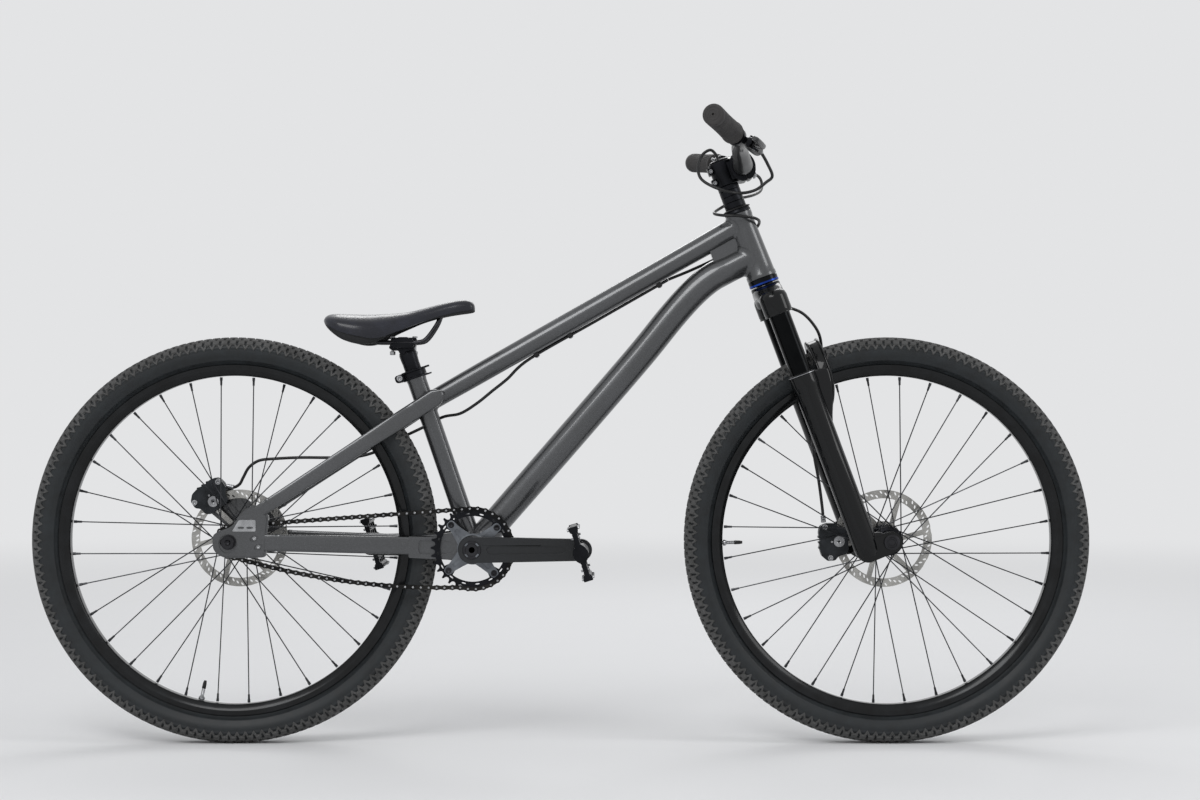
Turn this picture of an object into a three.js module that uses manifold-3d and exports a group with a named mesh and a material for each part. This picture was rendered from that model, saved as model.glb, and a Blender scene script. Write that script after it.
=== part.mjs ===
// A dirt jump bicycle, built as the separate pieces that it comes apart into.
// Millimetres, X forward, Y to the rider's left, Z up.
// The origin is on the ground, midway between the two wheel axles.

import * as THREE from "three";
import { mergeVertices } from "three/addons/utils/BufferGeometryUtils.js";
import Module from "manifold-3d";

const wasm = await Module();
wasm.setup();

// Driving dimensions
const fit = { clearance: 0.3, overrun: 4 };

const layout = {
  wheelbase: 1062,
  chainstay: 390,
  bottomBracketDrop: 12,
  steeringAngleDeg: 69.5,
  seatAngleDeg: 71,
  forkOffset: 40,
  forkLength: 459,
  forkTravel: 100,
  legSpacing: 130,
};

const roundSides = { wheel: 32, tube: 16, bar: 12, small: 10, pin: 8, hose: 6, nut: 6 };

const wheel = {
  tyreRadius: 330,
  tyreWidth: 56,
  tyreWall: 3,
  beadDepth: 6,
  rimRadius: 285.5,
  rimDepth: 18,
  rimWidth: 32,
  rimFace: 17,
  rimWall: 2.5,
  hookDepth: 8,
  spokeThickness: 2,
  nippleOffset: 3,
  valveRadius: 3,
  valveLength: 28,
  spokesPerSide: 16,
  crossings: 3,
  trailingShare: 0.5,
  frontValveDeg: 181,
  rearValveDeg: -102,
};

const frontHub = {
  width: 110,
  axleRadius: 7.5,
  endRadius: 12,
  shellRadius: 15,
  flangeRadius: 24,
  flangeThickness: 3.5,
  flangeRight: 32,
  flangeLeft: 24,
  rotorPlane: 40,
};

const rearHub = {
  width: 135,
  axleRadius: 5,
  endRadius: 10,
  shellRadius: 15,
  flangeRadius: 25,
  flangeThickness: 3.5,
  flangeRight: 21,
  flangeLeft: 33,
  rotorPlane: 52,
};

const rotor = {
  radius: 80,
  bandWidth: 14,
  thickness: 1.9,
  centreRadius: 27,
  bossRadius: 22,
  boreRadius: 17,
  armWidth: 7,
  arms: 6,
};

const axleEnds = { nutRadius: 11.5, nutThickness: 8, headRadius: 13, headThickness: 4 };

const drive = {
  pitch: 12.7,
  ringTeeth: 32,
  cogTeeth: 12,
  chainline: 48,
  sprocketThickness: 3,
  toothHeight: 3.2,
  rootDepth: 3,
  toothBase: 6,
  toothTip: 2.4,
  rollerSize: 4,
  linkHeight: 8,
  linkThickness: 1.4,
  linkGap: 5,
  lowerSag: 15,
};

const ring = { bandInner: 53, tabInner: 45, tabWidth: 17, tabs: 4, firstTabDeg: 41.6 };

const cog = { sleeveRadius: 17, sleeveInner: 27, sleeveOuter: 62 };

const shell = { radius: 23.5, width: 73, bore: 18 };

const bearings = { cupRadius: 21, cupWidth: 7.5 };

const crank = {
  length: 175,
  rootRadius: 21,
  endRadius: 17.5,
  thickness: 14,
  innerFace: 66,
  spindleRadius: 12,
  capRadius: 15,
  capThickness: 2,
  spiderReach: 58,
  spiderWidth: 14,
  spiderThickness: 4.2,
  boltRadius: 5,
  boltThickness: 1.5,
  boltCircle: 52,
};

const pedal = {
  axleRadius: 7,
  armGap: 6,
  width: 100,
  length: 88,
  thickness: 15,
  tubeRadius: 12.5,
  rail: 9,
  endWall: 4,
  leanDeg: 17,
};

const yoke = { reach: 104, plateOuter: 42, plateInner: 34, height: 41, rise: 2.5, tyreGap: 11 };

const topTube = {
  radius: 16.5,
  flaredRadius: 17.6,
  flareLength: 110,
  wall: 2,
  headHeight: 94,
  belowSeatTop: 58,
};

const downTube = { radius: 23.5, wall: 2, headHeight: 34, gussetThickness: 9, gussetLength: 62 };

const seatTube = { radius: 15.9, length: 304, bore: 13.9 };

const headTube = { length: 112, topRadius: 21, bottomRadius: 24, bore: 17.5 };

const headset = {
  upperStack: 10,
  upperRadius: 21.5,
  lowerStack: 12,
  lowerRadius: 24.5,
  skirtLength: 9,
  steererRadius: 14.3,
  spacerRadius: 17.5,
  spacerHeight: 39,
};

const seatStay = {
  lugThickness: 12,
  endThickness: 10,
  lugHeight: 29,
  endHeight: 21,
  lugAhead: 31,
};

const stayChamferShare = 0.45;

const chainStay = { height: 30, startThickness: 8, middleThickness: 13 };

const dropout = {
  thickness: 10,
  reach: 60,
  slotHalfHeight: 5.6,
  slotDepth: 8,
  stayAhead: 54,
  stayRise: 53,
};

const collar = { height: 15, radius: 20, earLength: 15, earWidth: 14, lip: 2 };

const seatpost = { length: 262, headHeight: 15 };

const saddle = {
  railsAboveTube: 49,
  length: 244,
  width: 132,
  noseTop: 70,
  roundingPower: 0.6,
  hollowShare: 0.5,
  railRadius: 3.5,
  railSpacing: 44,
  railSteps: 30,
  clampLength: 40,
  clampWall: 3,
  clampHeight: 9,
};

const fork = {
  stanchionRadius: 17.5,
  stanchionWall: 3,
  stanchionLength: 312,
  crownHalfDepth: 20,
  socketRadius: 23,
  socketTop: 28,
  socketBottom: 66,
  crownTyreGap: 6,
  steererWall: 3,
  steererInset: 4,
  legRadius: 20.5,
  legTop: 170,
  legBottom: 481,
  legFloor: 32,
  lugRadius: 17,
  lugRootRadius: 18.5,
  lugOuter: 78,
  archFront: 48,
  archThickness: 21,
  archTyreGap: 8,
  archBand: 12,
  archInnerHalf: 35,
  archOuterHalf: 62,
  archRoot: 205,
};

const stem = {
  height: 40,
  reach: 32,
  clampRadius: 19.5,
  barClampRadius: 21,
  barClampWidth: 50,
  bodyHalfWidth: 17,
  bodyHalfHeight: 16,
  facePlateGap: 1.2,
  capRadius: 16,
  capThickness: 4,
  capHole: 4.5,
};

const bar = {
  halfWidth: 370,
  centreRadius: 15.9,
  endRadius: 11.1,
  clampHalf: 40,
  bendHalf: 200,
  bendRise: 27,
  bendSweep: 5,
  endRise: 62,
  endSweep: 44,
  wall: 2.2,
  swellShare: 0.3,
};

const grip = { length: 126, radius: 15.5, ringRadius: 16.5, ringWidth: 5, endCap: 4, hole: 3 };

const lever = {
  clampOffset: 150,
  clampWidth: 13,
  clampWall: 4,
  tiltDeg: 48,
  bodyStart: 16,
  bodyEnd: 36,
  bodyInboard: 56,
  bodyHalfHeight: 8,
  pivotReach: 40,
  pivotRadius: 7,
  pinRadius: 2,
  bladeReach: 64,
  bladeLength: 92,
  bladeWidth: 9,
  bladeThickness: 8,
};

const hose = { radius: 2.5, step: 28, bendStep: 13 };

const caliper = {
  padReach: 22,
  outerReach: 27,
  halfLength: 31,
  halfSlot: 1.8,
  frontInner: 12,
  frontOuter: 10,
  rearInner: 12,
  frontAngleDeg: 163,
  rearAngleDeg: 125,
  mountWidth: 12,
};

// Places worked out from the driving dimensions
const radians = THREE.MathUtils.degToRad;
const up = new THREE.Vector3(0, 0, 1);
const leftward = new THREE.Vector3(0, 1, 0);
const rearAxle = new THREE.Vector3(-layout.wheelbase / 2, 0, wheel.tyreRadius);
const frontAxle = new THREE.Vector3(layout.wheelbase / 2, 0, wheel.tyreRadius);
const bottomBracket = new THREE.Vector3(
  rearAxle.x + Math.sqrt(layout.chainstay ** 2 - layout.bottomBracketDrop ** 2),
  0,
  wheel.tyreRadius - layout.bottomBracketDrop,
);
const steerTilt = radians(layout.steeringAngleDeg - 90);
const steerUp = up.clone().applyAxisAngle(leftward, steerTilt);
const steerForward = new THREE.Vector3(1, 0, 0).applyAxisAngle(leftward, steerTilt);
const axleDrop = layout.forkLength + headset.lowerStack;
const headBottom = frontAxle
  .clone()
  .addScaledVector(steerForward, -layout.forkOffset)
  .addScaledVector(steerUp, axleDrop);
const seatTilt = radians(layout.seatAngleDeg - 90);
const seatUp = up.clone().applyAxisAngle(leftward, seatTilt);
const steerer = {
  top: headTube.length + headset.upperStack + headset.spacerHeight + stem.height,
  bore: headset.steererRadius - fork.steererWall,
};
const rimInner = wheel.rimRadius - wheel.rimDepth;
const stayJointHeight = seatTube.length - topTube.belowSeatTop;
const railHeight = seatTube.length + saddle.railsAboveTube;

// Materials
function finish(color, roughness, metalness) {
  return new THREE.MeshStandardMaterial({ color, roughness, metalness });
}

const finishes = {
  framePaint: () => finish("#4f4b47", 0.35, 0.6),
  blackPaint: () => finish("#101113", 0.3, 0.3),
  blackAlloy: () => finish("#1a1b1e", 0.4, 0.7),
  blueAlloy: () => finish("#1f3f8c", 0.3, 0.8),
  steel: () => finish("#a3a5a8", 0.35, 0.9),
  darkSteel: () => finish("#3c3c3e", 0.4, 0.85),
  tyre: () => finish("#3a3733", 0.9, 0),
  rubber: () => finish("#2a2a2c", 0.85, 0),
  cover: () => finish("#15171f", 0.35, 0),
  plastic: () => finish("#141416", 0.5, 0),
};

// Solids
function closed(geometry) {
  const bare = geometry.clone();
  bare.deleteAttribute("normal");
  bare.deleteAttribute("uv");
  const merged = mergeVertices(bare);
  const places = merged.getAttribute("position");
  const corners = [0, 1, 2].map(() => new THREE.Vector3());
  const kept = [];
  let volume = 0;
  for (let i = 0; i < merged.index.count; i += 3) {
    const face = [0, 1, 2].map((k) => merged.index.getX(i + k));
    if (new Set(face).size === 3) {
      face.forEach((vertex, k) => corners[k].fromBufferAttribute(places, vertex));
      volume += corners[0].dot(corners[1].clone().cross(corners[2]));
      kept.push(face);
    }
  }
  const outward = volume < 0 ? kept.map(([a, b, c]) => [a, c, b]) : kept;
  merged.setIndex(outward.flat());
  return merged;
}

function solid(geometry) {
  const merged = closed(geometry);
  return new wasm.Manifold(
    new wasm.Mesh({
      numProp: 3,
      vertProperties: new Float32Array(merged.getAttribute("position").array),
      triVerts: new Uint32Array(merged.index.array),
    }),
  );
}

function geometryOf(body) {
  const mesh = body.getMesh();
  const geometry = new THREE.BufferGeometry();
  geometry.setAttribute("position", new THREE.BufferAttribute(mesh.vertProperties, 3));
  geometry.setIndex(new THREE.BufferAttribute(mesh.triVerts, 1));
  return geometry;
}

function joined(geometries) {
  return geometryOf(geometries.map(solid).reduce((sum, next) => sum.add(next)));
}

function cut(geometry, tools) {
  return geometryOf(tools.map(solid).reduce((rest, tool) => rest.subtract(tool), solid(geometry)));
}

function overlap(geometry, other) {
  return geometryOf(solid(geometry).intersect(solid(other)));
}

function mirrored(geometry) {
  return closed(geometry.clone().scale(1, -1, 1));
}

function towards(side, geometry) {
  return side > 0 ? geometry : mirrored(geometry);
}

function placed(geometry, matrix) {
  return geometry.clone().applyMatrix4(matrix);
}

// A hole that turns freely round a pin, though both have flat facets
function boreRound(pinRadius, sides) {
  return (pinRadius + fit.clearance) / Math.cos(Math.PI / sides);
}

function box(low, high) {
  const size = high.map((value, i) => value - low[i]);
  const centre = high.map((value, i) => (value + low[i]) / 2);
  return new THREE.BoxGeometry(...size).translate(...centre);
}

function polar(radius, angle) {
  return [radius * Math.cos(angle), radius * Math.sin(angle)];
}

function arc(radius, from, to, steps, centre = [0, 0]) {
  return Array.from({ length: steps + 1 }, (_, i) => {
    const [x, y] = polar(radius, from + ((to - from) * i) / steps);
    return [centre[0] + x, centre[1] + y];
  });
}

function circle(radius, sides, centre = [0, 0]) {
  return arc(radius, 0, 2 * Math.PI, sides, centre).slice(0, -1);
}

function shapeOf(outline, holes = []) {
  const shape = new THREE.Shape(outline.map(([x, y]) => new THREE.Vector2(x, y)));
  shape.holes = holes.map((hole) => new THREE.Path(hole.map(([x, y]) => new THREE.Vector2(x, y))));
  return shape;
}

// A plate whose outline lies in X and Z, from one Y to another
function plate(outline, low, high, holes = []) {
  const settings = { depth: high - low, bevelEnabled: false };
  const geometry = new THREE.ExtrudeGeometry(shapeOf(outline, holes), settings);
  return geometry.rotateX(Math.PI / 2).translate(0, high, 0);
}

// A plate whose outline lies in Y and Z, from one X to another
function crossPlate(outline, low, high) {
  const settings = { depth: high - low, bevelEnabled: false };
  const geometry = new THREE.ExtrudeGeometry(shapeOf(outline), settings);
  return geometry.rotateX(Math.PI / 2).rotateZ(Math.PI / 2).translate(low, 0, 0);
}

function latheProfile(profile, sides) {
  const points = [...profile, profile[0]].map(([radius, along]) => new THREE.Vector2(radius, along));
  return new THREE.LatheGeometry(points, sides);
}

// Turned about Y, as wheels are
function turned(profile, sides) {
  return latheProfile(profile, sides);
}

// Turned about Z, as what goes round the steering axis or the seat tube is
function turnedUpright(profile, sides) {
  return latheProfile(profile, sides).rotateX(Math.PI / 2);
}

function sleeveProfile(inner, outer, low, high) {
  return [
    [inner, low],
    [outer, low],
    [outer, high],
    [inner, high],
  ];
}

function discAcross(radius, low, high, sides = roundSides.tube) {
  return turned(sleeveProfile(0, radius, low, high), sides);
}

function postUpright(radius, low, high, sides = roundSides.tube) {
  return turnedUpright(sleeveProfile(0, radius, low, high), sides);
}

// Rings of points joined into one skin, with flat caps or closed on itself
function loft(rings, loop = false, capFaces = null) {
  const count = rings[0].length;
  const faces = [];
  const last = loop ? rings.length : rings.length - 1;
  for (let i = 0; i < last; i += 1) {
    const here = i * count;
    const there = ((i + 1) % rings.length) * count;
    for (let j = 0; j < count; j += 1) {
      const k = (j + 1) % count;
      faces.push([here + j, here + k, there + k], [here + j, there + k, there + j]);
    }
  }
  if (!loop) {
    const fan = Array.from({ length: count - 2 }, (_, i) => [0, i + 1, i + 2]);
    const end = (rings.length - 1) * count;
    for (const [a, b, c] of capFaces ?? fan) {
      faces.push([a, c, b], [end + a, end + b, end + c]);
    }
  }
  const geometry = new THREE.BufferGeometry();
  const places = rings.flat().flatMap((point) => point.toArray());
  geometry.setAttribute("position", new THREE.Float32BufferAttribute(places, 3));
  geometry.setIndex(faces.flat());
  return closed(geometry);
}

// The directions across a path at each of its points
function frames(points, reference) {
  return points.map((point, i) => {
    const before = points[Math.max(i - 1, 0)];
    const after = points[Math.min(i + 1, points.length - 1)];
    const along = after.clone().sub(before).normalize();
    const side = reference.clone().addScaledVector(along, -reference.dot(along)).normalize();
    return { point, side, other: along.clone().cross(side) };
  });
}

// A bar through points, each with its two half widths: along the reference and across it
function barThrough(points, halves, section, reference = leftward) {
  const rings = frames(points, reference).map(({ point, side, other }, i) =>
    section.map(([a, b]) =>
      point.clone().addScaledVector(side, a * halves[i][0]).addScaledVector(other, b * halves[i][1]),
    ),
  );
  return loft(rings);
}

function tube(points, halves, sides, reference = leftward) {
  return barThrough(points, halves, circle(1, sides), reference);
}

const squareSection = [
  [1, 1],
  [-1, 1],
  [-1, -1],
  [1, -1],
];

function chamferedSection(chamferShare) {
  return squareSection.flatMap(([a, b], i) => {
    const onSide = [a, b * chamferShare];
    const onTop = [a * chamferShare, b];
    return i % 2 ? [onTop, onSide] : [onSide, onTop];
  });
}

function hoseAlong(route, step) {
  const path = new THREE.CatmullRomCurve3(route.map(([x, y, z]) => new THREE.Vector3(x, y, z)));
  const steps = Math.ceil(path.getLength() / step);
  const settings = { steps, bevelEnabled: false, extrudePath: path };
  return closed(new THREE.ExtrudeGeometry(shapeOf(circle(hose.radius, roundSides.hose)), settings));
}

function piece(name, geometry, material) {
  const mesh = new THREE.Mesh(closed(geometry), material);
  mesh.name = name;
  return mesh;
}

// Wheels
function tyre() {
  const bead = wheel.rimRadius - wheel.beadDepth;
  const height = wheel.tyreRadius - bead;
  const half = wheel.tyreWidth / 2;
  const beadHalf = wheel.rimWidth / 2 - wheel.rimWall - fit.clearance;
  const beadTop = wheel.rimRadius + fit.clearance;
  const skinShares = [
    [0.37, 0.93],
    [0.62, 1],
    [0.87, 0.74],
    [1, 0.3],
  ];
  const innerShares = [
    [0.52, 0.92],
    [0.88, 0.6],
  ];
  const skin = skinShares.map(([rise, out]) => [bead + rise * height, out * half]);
  const inside = innerShares.map(([rise, out]) => [
    bead + rise * (height - wheel.tyreWall),
    out * (half - wheel.tyreWall),
  ]);
  const outer = [[bead, beadHalf], [beadTop, beadHalf], ...skin];
  const innerHalf = beadHalf - wheel.tyreWall;
  const inner = [[bead, innerHalf], [beadTop, innerHalf], ...inside];
  const mirrorOf = (list) => list.map(([radius, along]) => [radius, -along]).reverse();
  const profile = [...outer, ...mirrorOf(outer), ...mirrorOf(inner).reverse(), ...inner.reverse()];
  return turned(profile, roundSides.wheel);
}

function rimProfile(grow = 0) {
  const half = wheel.rimWidth / 2 + grow;
  const face = wheel.rimFace / 2 + grow;
  const shoulder = wheel.rimRadius - wheel.hookDepth;
  return [
    [wheel.rimRadius, half],
    [shoulder, half],
    [rimInner - grow, face],
    [rimInner - grow, -face],
    [shoulder, -half],
    [wheel.rimRadius, -half],
  ];
}

function rim(valveDirection) {
  const half = wheel.rimWidth / 2 - wheel.rimWall;
  const face = wheel.rimFace / 2 - wheel.rimWall;
  const shoulder = wheel.rimRadius - wheel.hookDepth;
  const floor = rimInner + wheel.rimWall;
  const channel = [
    [wheel.rimRadius, -half],
    [shoulder, -half],
    [floor, -face],
    [floor, face],
    [shoulder, half],
    [wheel.rimRadius, half],
  ];
  const hoop = turned([...rimProfile(), ...channel], roundSides.wheel);
  const valve = postUpright(wheel.valveRadius, rimInner - wheel.valveLength, floor, roundSides.pin);
  return joined([hoop, valve.rotateY(Math.PI / 2 - valveDirection)]);
}

// Straight spokes of one flange: leading and trailing ones cross on planes through the axle
function spokes(hub, side, valveDirection) {
  const half = wheel.spokeThickness / 2;
  const pitch = (2 * Math.PI) / wheel.spokesPerSide;
  const wrap = pitch * wheel.crossings;
  const flange = side > 0 ? hub.flangeLeft : hub.flangeRight;
  const hubPlane = side * flange;
  const rimPlane = side * wheel.nippleOffset;
  const start = hub.flangeRadius + half + fit.clearance;
  const end = rimInner * Math.cos(Math.PI / roundSides.wheel) - fit.clearance;
  const offset = valveDirection + (side > 0 ? pitch / 4 : -pitch / 4);
  const bars = Array.from({ length: wheel.spokesPerSide }, (_, i) => {
    const trailing = i % 2;
    const from = offset + i * pitch;
    const to = from + (trailing ? wrap : -wrap);
    const [x0, z0] = polar(start, from);
    const [x1, z1] = polar(end, to);
    const ends = [new THREE.Vector3(x0, hubPlane, z0), new THREE.Vector3(x1, rimPlane, z1)];
    const across = trailing ? half : half * wheel.trailingShare;
    return barThrough(ends, [[across, half], [across, half]], squareSection);
  });
  return joined(bars);
}

function hubShell(hub, rotorBoss) {
  const end = hub.width / 2 - fit.clearance;
  const flange = hub.flangeThickness / 2;
  const bore = hub.axleRadius + fit.clearance;
  const rotorFace = hub.rotorPlane - rotor.thickness / 2 - fit.clearance;
  const profile = [
    [bore, -end],
    [hub.endRadius, -end],
    [hub.endRadius, -hub.flangeRight - flange],
    [hub.flangeRadius, -hub.flangeRight - flange],
    [hub.flangeRadius, -hub.flangeRight + flange],
    [hub.shellRadius, -hub.flangeRight + 2 * flange],
    [hub.shellRadius, hub.flangeLeft - 2 * flange],
    [hub.flangeRadius, hub.flangeLeft - flange],
    [hub.flangeRadius, hub.flangeLeft + flange],
    [rotorBoss, hub.flangeLeft + flange],
    [rotorBoss, rotorFace],
    [hub.endRadius, rotorFace],
    [hub.endRadius, end],
    [bore, end],
  ];
  return turned(profile, roundSides.tube);
}

function brakeRotor(plane) {
  const bandInner = rotor.radius - rotor.bandWidth;
  const pitch = (2 * Math.PI) / rotor.arms;
  const windows = Array.from({ length: rotor.arms }, (_, i) => {
    const outerHalf = rotor.armWidth / 2 / bandInner;
    const innerHalf = rotor.armWidth / 2 / rotor.centreRadius;
    const outerArc = arc(bandInner, i * pitch + outerHalf, (i + 1) * pitch - outerHalf, 4);
    const innerArc = arc(rotor.centreRadius, (i + 1) * pitch - innerHalf, i * pitch + innerHalf, 2);
    return [...outerArc, ...innerArc];
  });
  const bore = circle(rotor.boreRadius, roundSides.small);
  const low = plane - rotor.thickness / 2;
  const outline = circle(rotor.radius, roundSides.wheel);
  return plate(outline, low, low + rotor.thickness, [...windows, bore]);
}

function wheelPieces(name, hub, centre, valveDirection) {
  const pieces = [
    piece(`${name}_tyre`, tyre(), finishes.tyre()),
    piece(`${name}_rim`, rim(valveDirection), finishes.blackAlloy()),
    piece(`${name}_hub`, hubShell(hub, rotor.bossRadius), finishes.blackAlloy()),
    piece(`${name}_spokes_right`, spokes(hub, -1, valveDirection), finishes.darkSteel()),
    piece(`${name}_spokes_left`, spokes(hub, 1, valveDirection), finishes.darkSteel()),
    piece(`${name}_rotor`, brakeRotor(hub.rotorPlane), finishes.steel()),
  ];
  const group = new THREE.Group();
  group.position.copy(centre);
  group.add(...pieces);
  return group;
}

// Sprockets and chain
function pitchRadius(teeth) {
  return drive.pitch / 2 / Math.sin(Math.PI / teeth);
}

function toothedOutline(teeth, phase) {
  const radius = pitchRadius(teeth);
  const root = radius - drive.rootDepth;
  const tip = radius + drive.toothHeight;
  const points = [];
  for (let i = 0; i < teeth; i += 1) {
    const middle = phase + ((i + 0.5) * 2 * Math.PI) / teeth;
    const base = drive.toothBase / 2 / root;
    const point = drive.toothTip / 2 / tip;
    points.push(polar(root, middle - base), polar(tip, middle - point));
    points.push(polar(tip, middle + point), polar(root, middle + base));
  }
  return points;
}

// The chain's closed centre line: over the ring, along the sagging lower run, round the cog and back
function chainLine() {
  const ringRadius = pitchRadius(drive.ringTeeth);
  const cogRadius = pitchRadius(drive.cogTeeth);
  const span = bottomBracket.distanceTo(rearAxle);
  const back = Math.atan2(rearAxle.z - bottomBracket.z, rearAxle.x - bottomBracket.x);
  const wedge = Math.acos((ringRadius - cogRadius) / span);
  const upper = back - wedge;
  const lower = back + wedge;
  const centred = (centre, list) => list.map(([x, z]) => [centre.x + x, centre.z + z]);
  const sagAngle = Math.atan2(4 * drive.lowerSag, span);
  const ringArc = centred(bottomBracket, arc(ringRadius, upper, lower - 2 * Math.PI - sagAngle, 14));
  const cogArc = centred(rearAxle, arc(cogRadius, lower + sagAngle, upper, 6));
  const from = ringArc.at(-1);
  const to = cogArc[0];
  const steps = 6;
  const sagging = Array.from({ length: steps - 1 }, (_, i) => {
    const share = (i + 1) / steps;
    const drop = 4 * drive.lowerSag * share * (1 - share);
    return [from[0] + (to[0] - from[0]) * share, from[1] + (to[1] - from[1]) * share - drop];
  });
  return [...ringArc, ...sagging, ...cogArc];
}

function measured(line) {
  const lengths = [0];
  const loop = [...line, line[0]];
  for (let i = 1; i < loop.length; i += 1) {
    lengths.push(lengths[i - 1] + Math.hypot(loop[i][0] - loop[i - 1][0], loop[i][1] - loop[i - 1][1]));
  }
  return { loop, lengths };
}

// Pins at even spacing along the centre line
function chainPins(line) {
  const { loop, lengths } = measured(line);
  const total = lengths.at(-1);
  const count = 2 * Math.round(total / drive.pitch / 2);
  return Array.from({ length: count }, (_, i) => {
    const along = (total * i) / count;
    const k = lengths.findIndex((length, j) => j > 0 && length >= along) || 1;
    const share = (along - lengths[k - 1]) / (lengths[k] - lengths[k - 1]);
    const [a, b] = [loop[k - 1], loop[k]];
    return { x: a[0] + (b[0] - a[0]) * share, z: a[1] + (b[1] - a[1]) * share, a, b };
  });
}

// Where a sprocket has to stand for its teeth to fall between the pins, from the pins halfway round
function toothPhase(centre, pins, outward) {
  const middle = pins.reduce((best, pin) => {
    const reach = (place) => (place.x - centre.x) * outward;
    return reach(pin) > reach(best) ? pin : best;
  });
  return Math.atan2(middle.z - centre.z, middle.x - centre.x);
}

function linkBand(line, low, high) {
  const half = drive.linkHeight / 2;
  const rings = line.map(([x, z], i) => {
    const [x0, z0] = line[(i + line.length - 1) % line.length];
    const [x1, z1] = line[(i + 1) % line.length];
    const normal = new THREE.Vector2(z0 - z1, x1 - x0).normalize();
    const [nx, nz] = [normal.x * half, normal.y * half];
    return [
      new THREE.Vector3(x + nx, low, z + nz),
      new THREE.Vector3(x + nx, high, z + nz),
      new THREE.Vector3(x - nx, high, z - nz),
      new THREE.Vector3(x - nx, low, z - nz),
    ];
  });
  return loft(rings, true);
}

function chain() {
  const line = chainLine();
  const inner = drive.linkGap / 2;
  const outer = inner + drive.linkThickness;
  const middle = inner + drive.linkThickness / 2;
  const half = drive.rollerSize / 2;
  const bands = [linkBand(line, -outer, -inner), linkBand(line, inner, outer)];
  const rollers = chainPins(line).map(({ x, z, a, b }) => {
    const slope = Math.atan2(b[1] - a[1], b[0] - a[0]);
    const roller = box([-half, -middle, -half], [half, middle, half]);
    return roller.rotateY(-slope).translate(x, 0, z);
  });
  return joined([...bands, ...rollers]).translate(0, -drive.chainline, 0);
}

function chainring(phase) {
  const half = drive.sprocketThickness / 2;
  const tabHalf = ring.tabWidth / 2 / ring.bandInner;
  const pitch = (2 * Math.PI) / ring.tabs;
  const inner = [];
  for (let i = 0; i < ring.tabs; i += 1) {
    const tab = radians(ring.firstTabDeg) + i * pitch;
    inner.push(...arc(ring.tabInner, tab - tabHalf, tab + tabHalf, 2));
    inner.push(...arc(ring.bandInner, tab + tabHalf, tab + pitch - tabHalf, 4));
  }
  const outline = toothedOutline(drive.ringTeeth, phase);
  return plate(outline, -drive.chainline - half, -drive.chainline + half, [inner]);
}

function rearCog(phase) {
  const half = drive.sprocketThickness / 2;
  const bore = boreRound(rearHub.endRadius, roundSides.tube);
  const outline = toothedOutline(drive.cogTeeth, phase);
  const hole = circle(bore + half, roundSides.tube);
  const disc = plate(outline, -drive.chainline - half, -drive.chainline + half, [hole]);
  const sleeve = turned(
    sleeveProfile(bore, cog.sleeveRadius, -cog.sleeveOuter, -cog.sleeveInner),
    roundSides.tube,
  );
  return joined([disc, sleeve]);
}

// Cranks and pedals
function stadium(rootRadius, endRadius, length, steps) {
  const lean = Math.asin((rootRadius - endRadius) / length);
  const top = Math.PI / 2 - lean;
  return [
    ...arc(rootRadius, top, 2 * Math.PI - top, steps),
    ...arc(endRadius, -top, top, steps, [length, 0]),
  ];
}

function crankArm(side) {
  const outer = crank.innerFace + crank.thickness;
  const root = shell.width / 2 + bearings.cupWidth + fit.clearance;
  const outline = stadium(crank.rootRadius, crank.endRadius, crank.length, 7);
  const pedalHole = circle(
    boreRound(pedal.axleRadius, roundSides.small),
    roundSides.small,
    [crank.length, 0],
  );
  const arm = plate(outline, crank.innerFace, outer, [pedalHole]);
  const boss = discAcross(crank.rootRadius, root, outer - crank.thickness / 2);
  return towards(side, joined([arm, boss]));
}

function crankRight() {
  const outer = crank.innerFace + crank.thickness;
  const ringFace = drive.chainline + drive.sprocketThickness / 2 + fit.clearance;
  const spiderOuter = ringFace + crank.spiderThickness;
  const spiderHalf = crank.spiderWidth / 2;
  const pitch = (2 * Math.PI) / ring.tabs;
  const arms = Array.from({ length: ring.tabs }, (_, i) => {
    const turn = radians(ring.firstTabDeg) + i * pitch;
    const spider = box(
      [0, -spiderOuter, -spiderHalf],
      [crank.spiderReach, -ringFace, spiderHalf],
    );
    const bolt = discAcross(
      crank.boltRadius,
      -spiderOuter - crank.boltThickness,
      -ringFace - crank.spiderThickness / 2,
      roundSides.pin,
    ).translate(crank.boltCircle, 0, 0);
    return joined([spider, bolt]).rotateY(-turn);
  });
  const leftOuter = crank.innerFace + crank.thickness;
  const spindle = discAcross(crank.spindleRadius, -outer + crank.thickness / 2, leftOuter);
  const cap = discAcross(
    crank.capRadius,
    -outer - crank.capThickness,
    -outer + crank.thickness / 2,
  );
  return joined([crankArm(-1), ...arms, spindle, cap]);
}

function crankLeft() {
  const outer = crank.innerFace + crank.thickness;
  const hole = discAcross(crank.spindleRadius + fit.clearance, 0, outer + fit.overrun);
  return cut(crankArm(1), [hole]).rotateY(Math.PI);
}

function pedalAxle(side) {
  const end = crank.innerFace + crank.thickness + pedal.armGap + pedal.width;
  const axle = discAcross(
    pedal.axleRadius,
    crank.innerFace,
    end - pedal.endWall - fit.clearance,
    roundSides.small,
  );
  return towards(side, axle);
}

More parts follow.
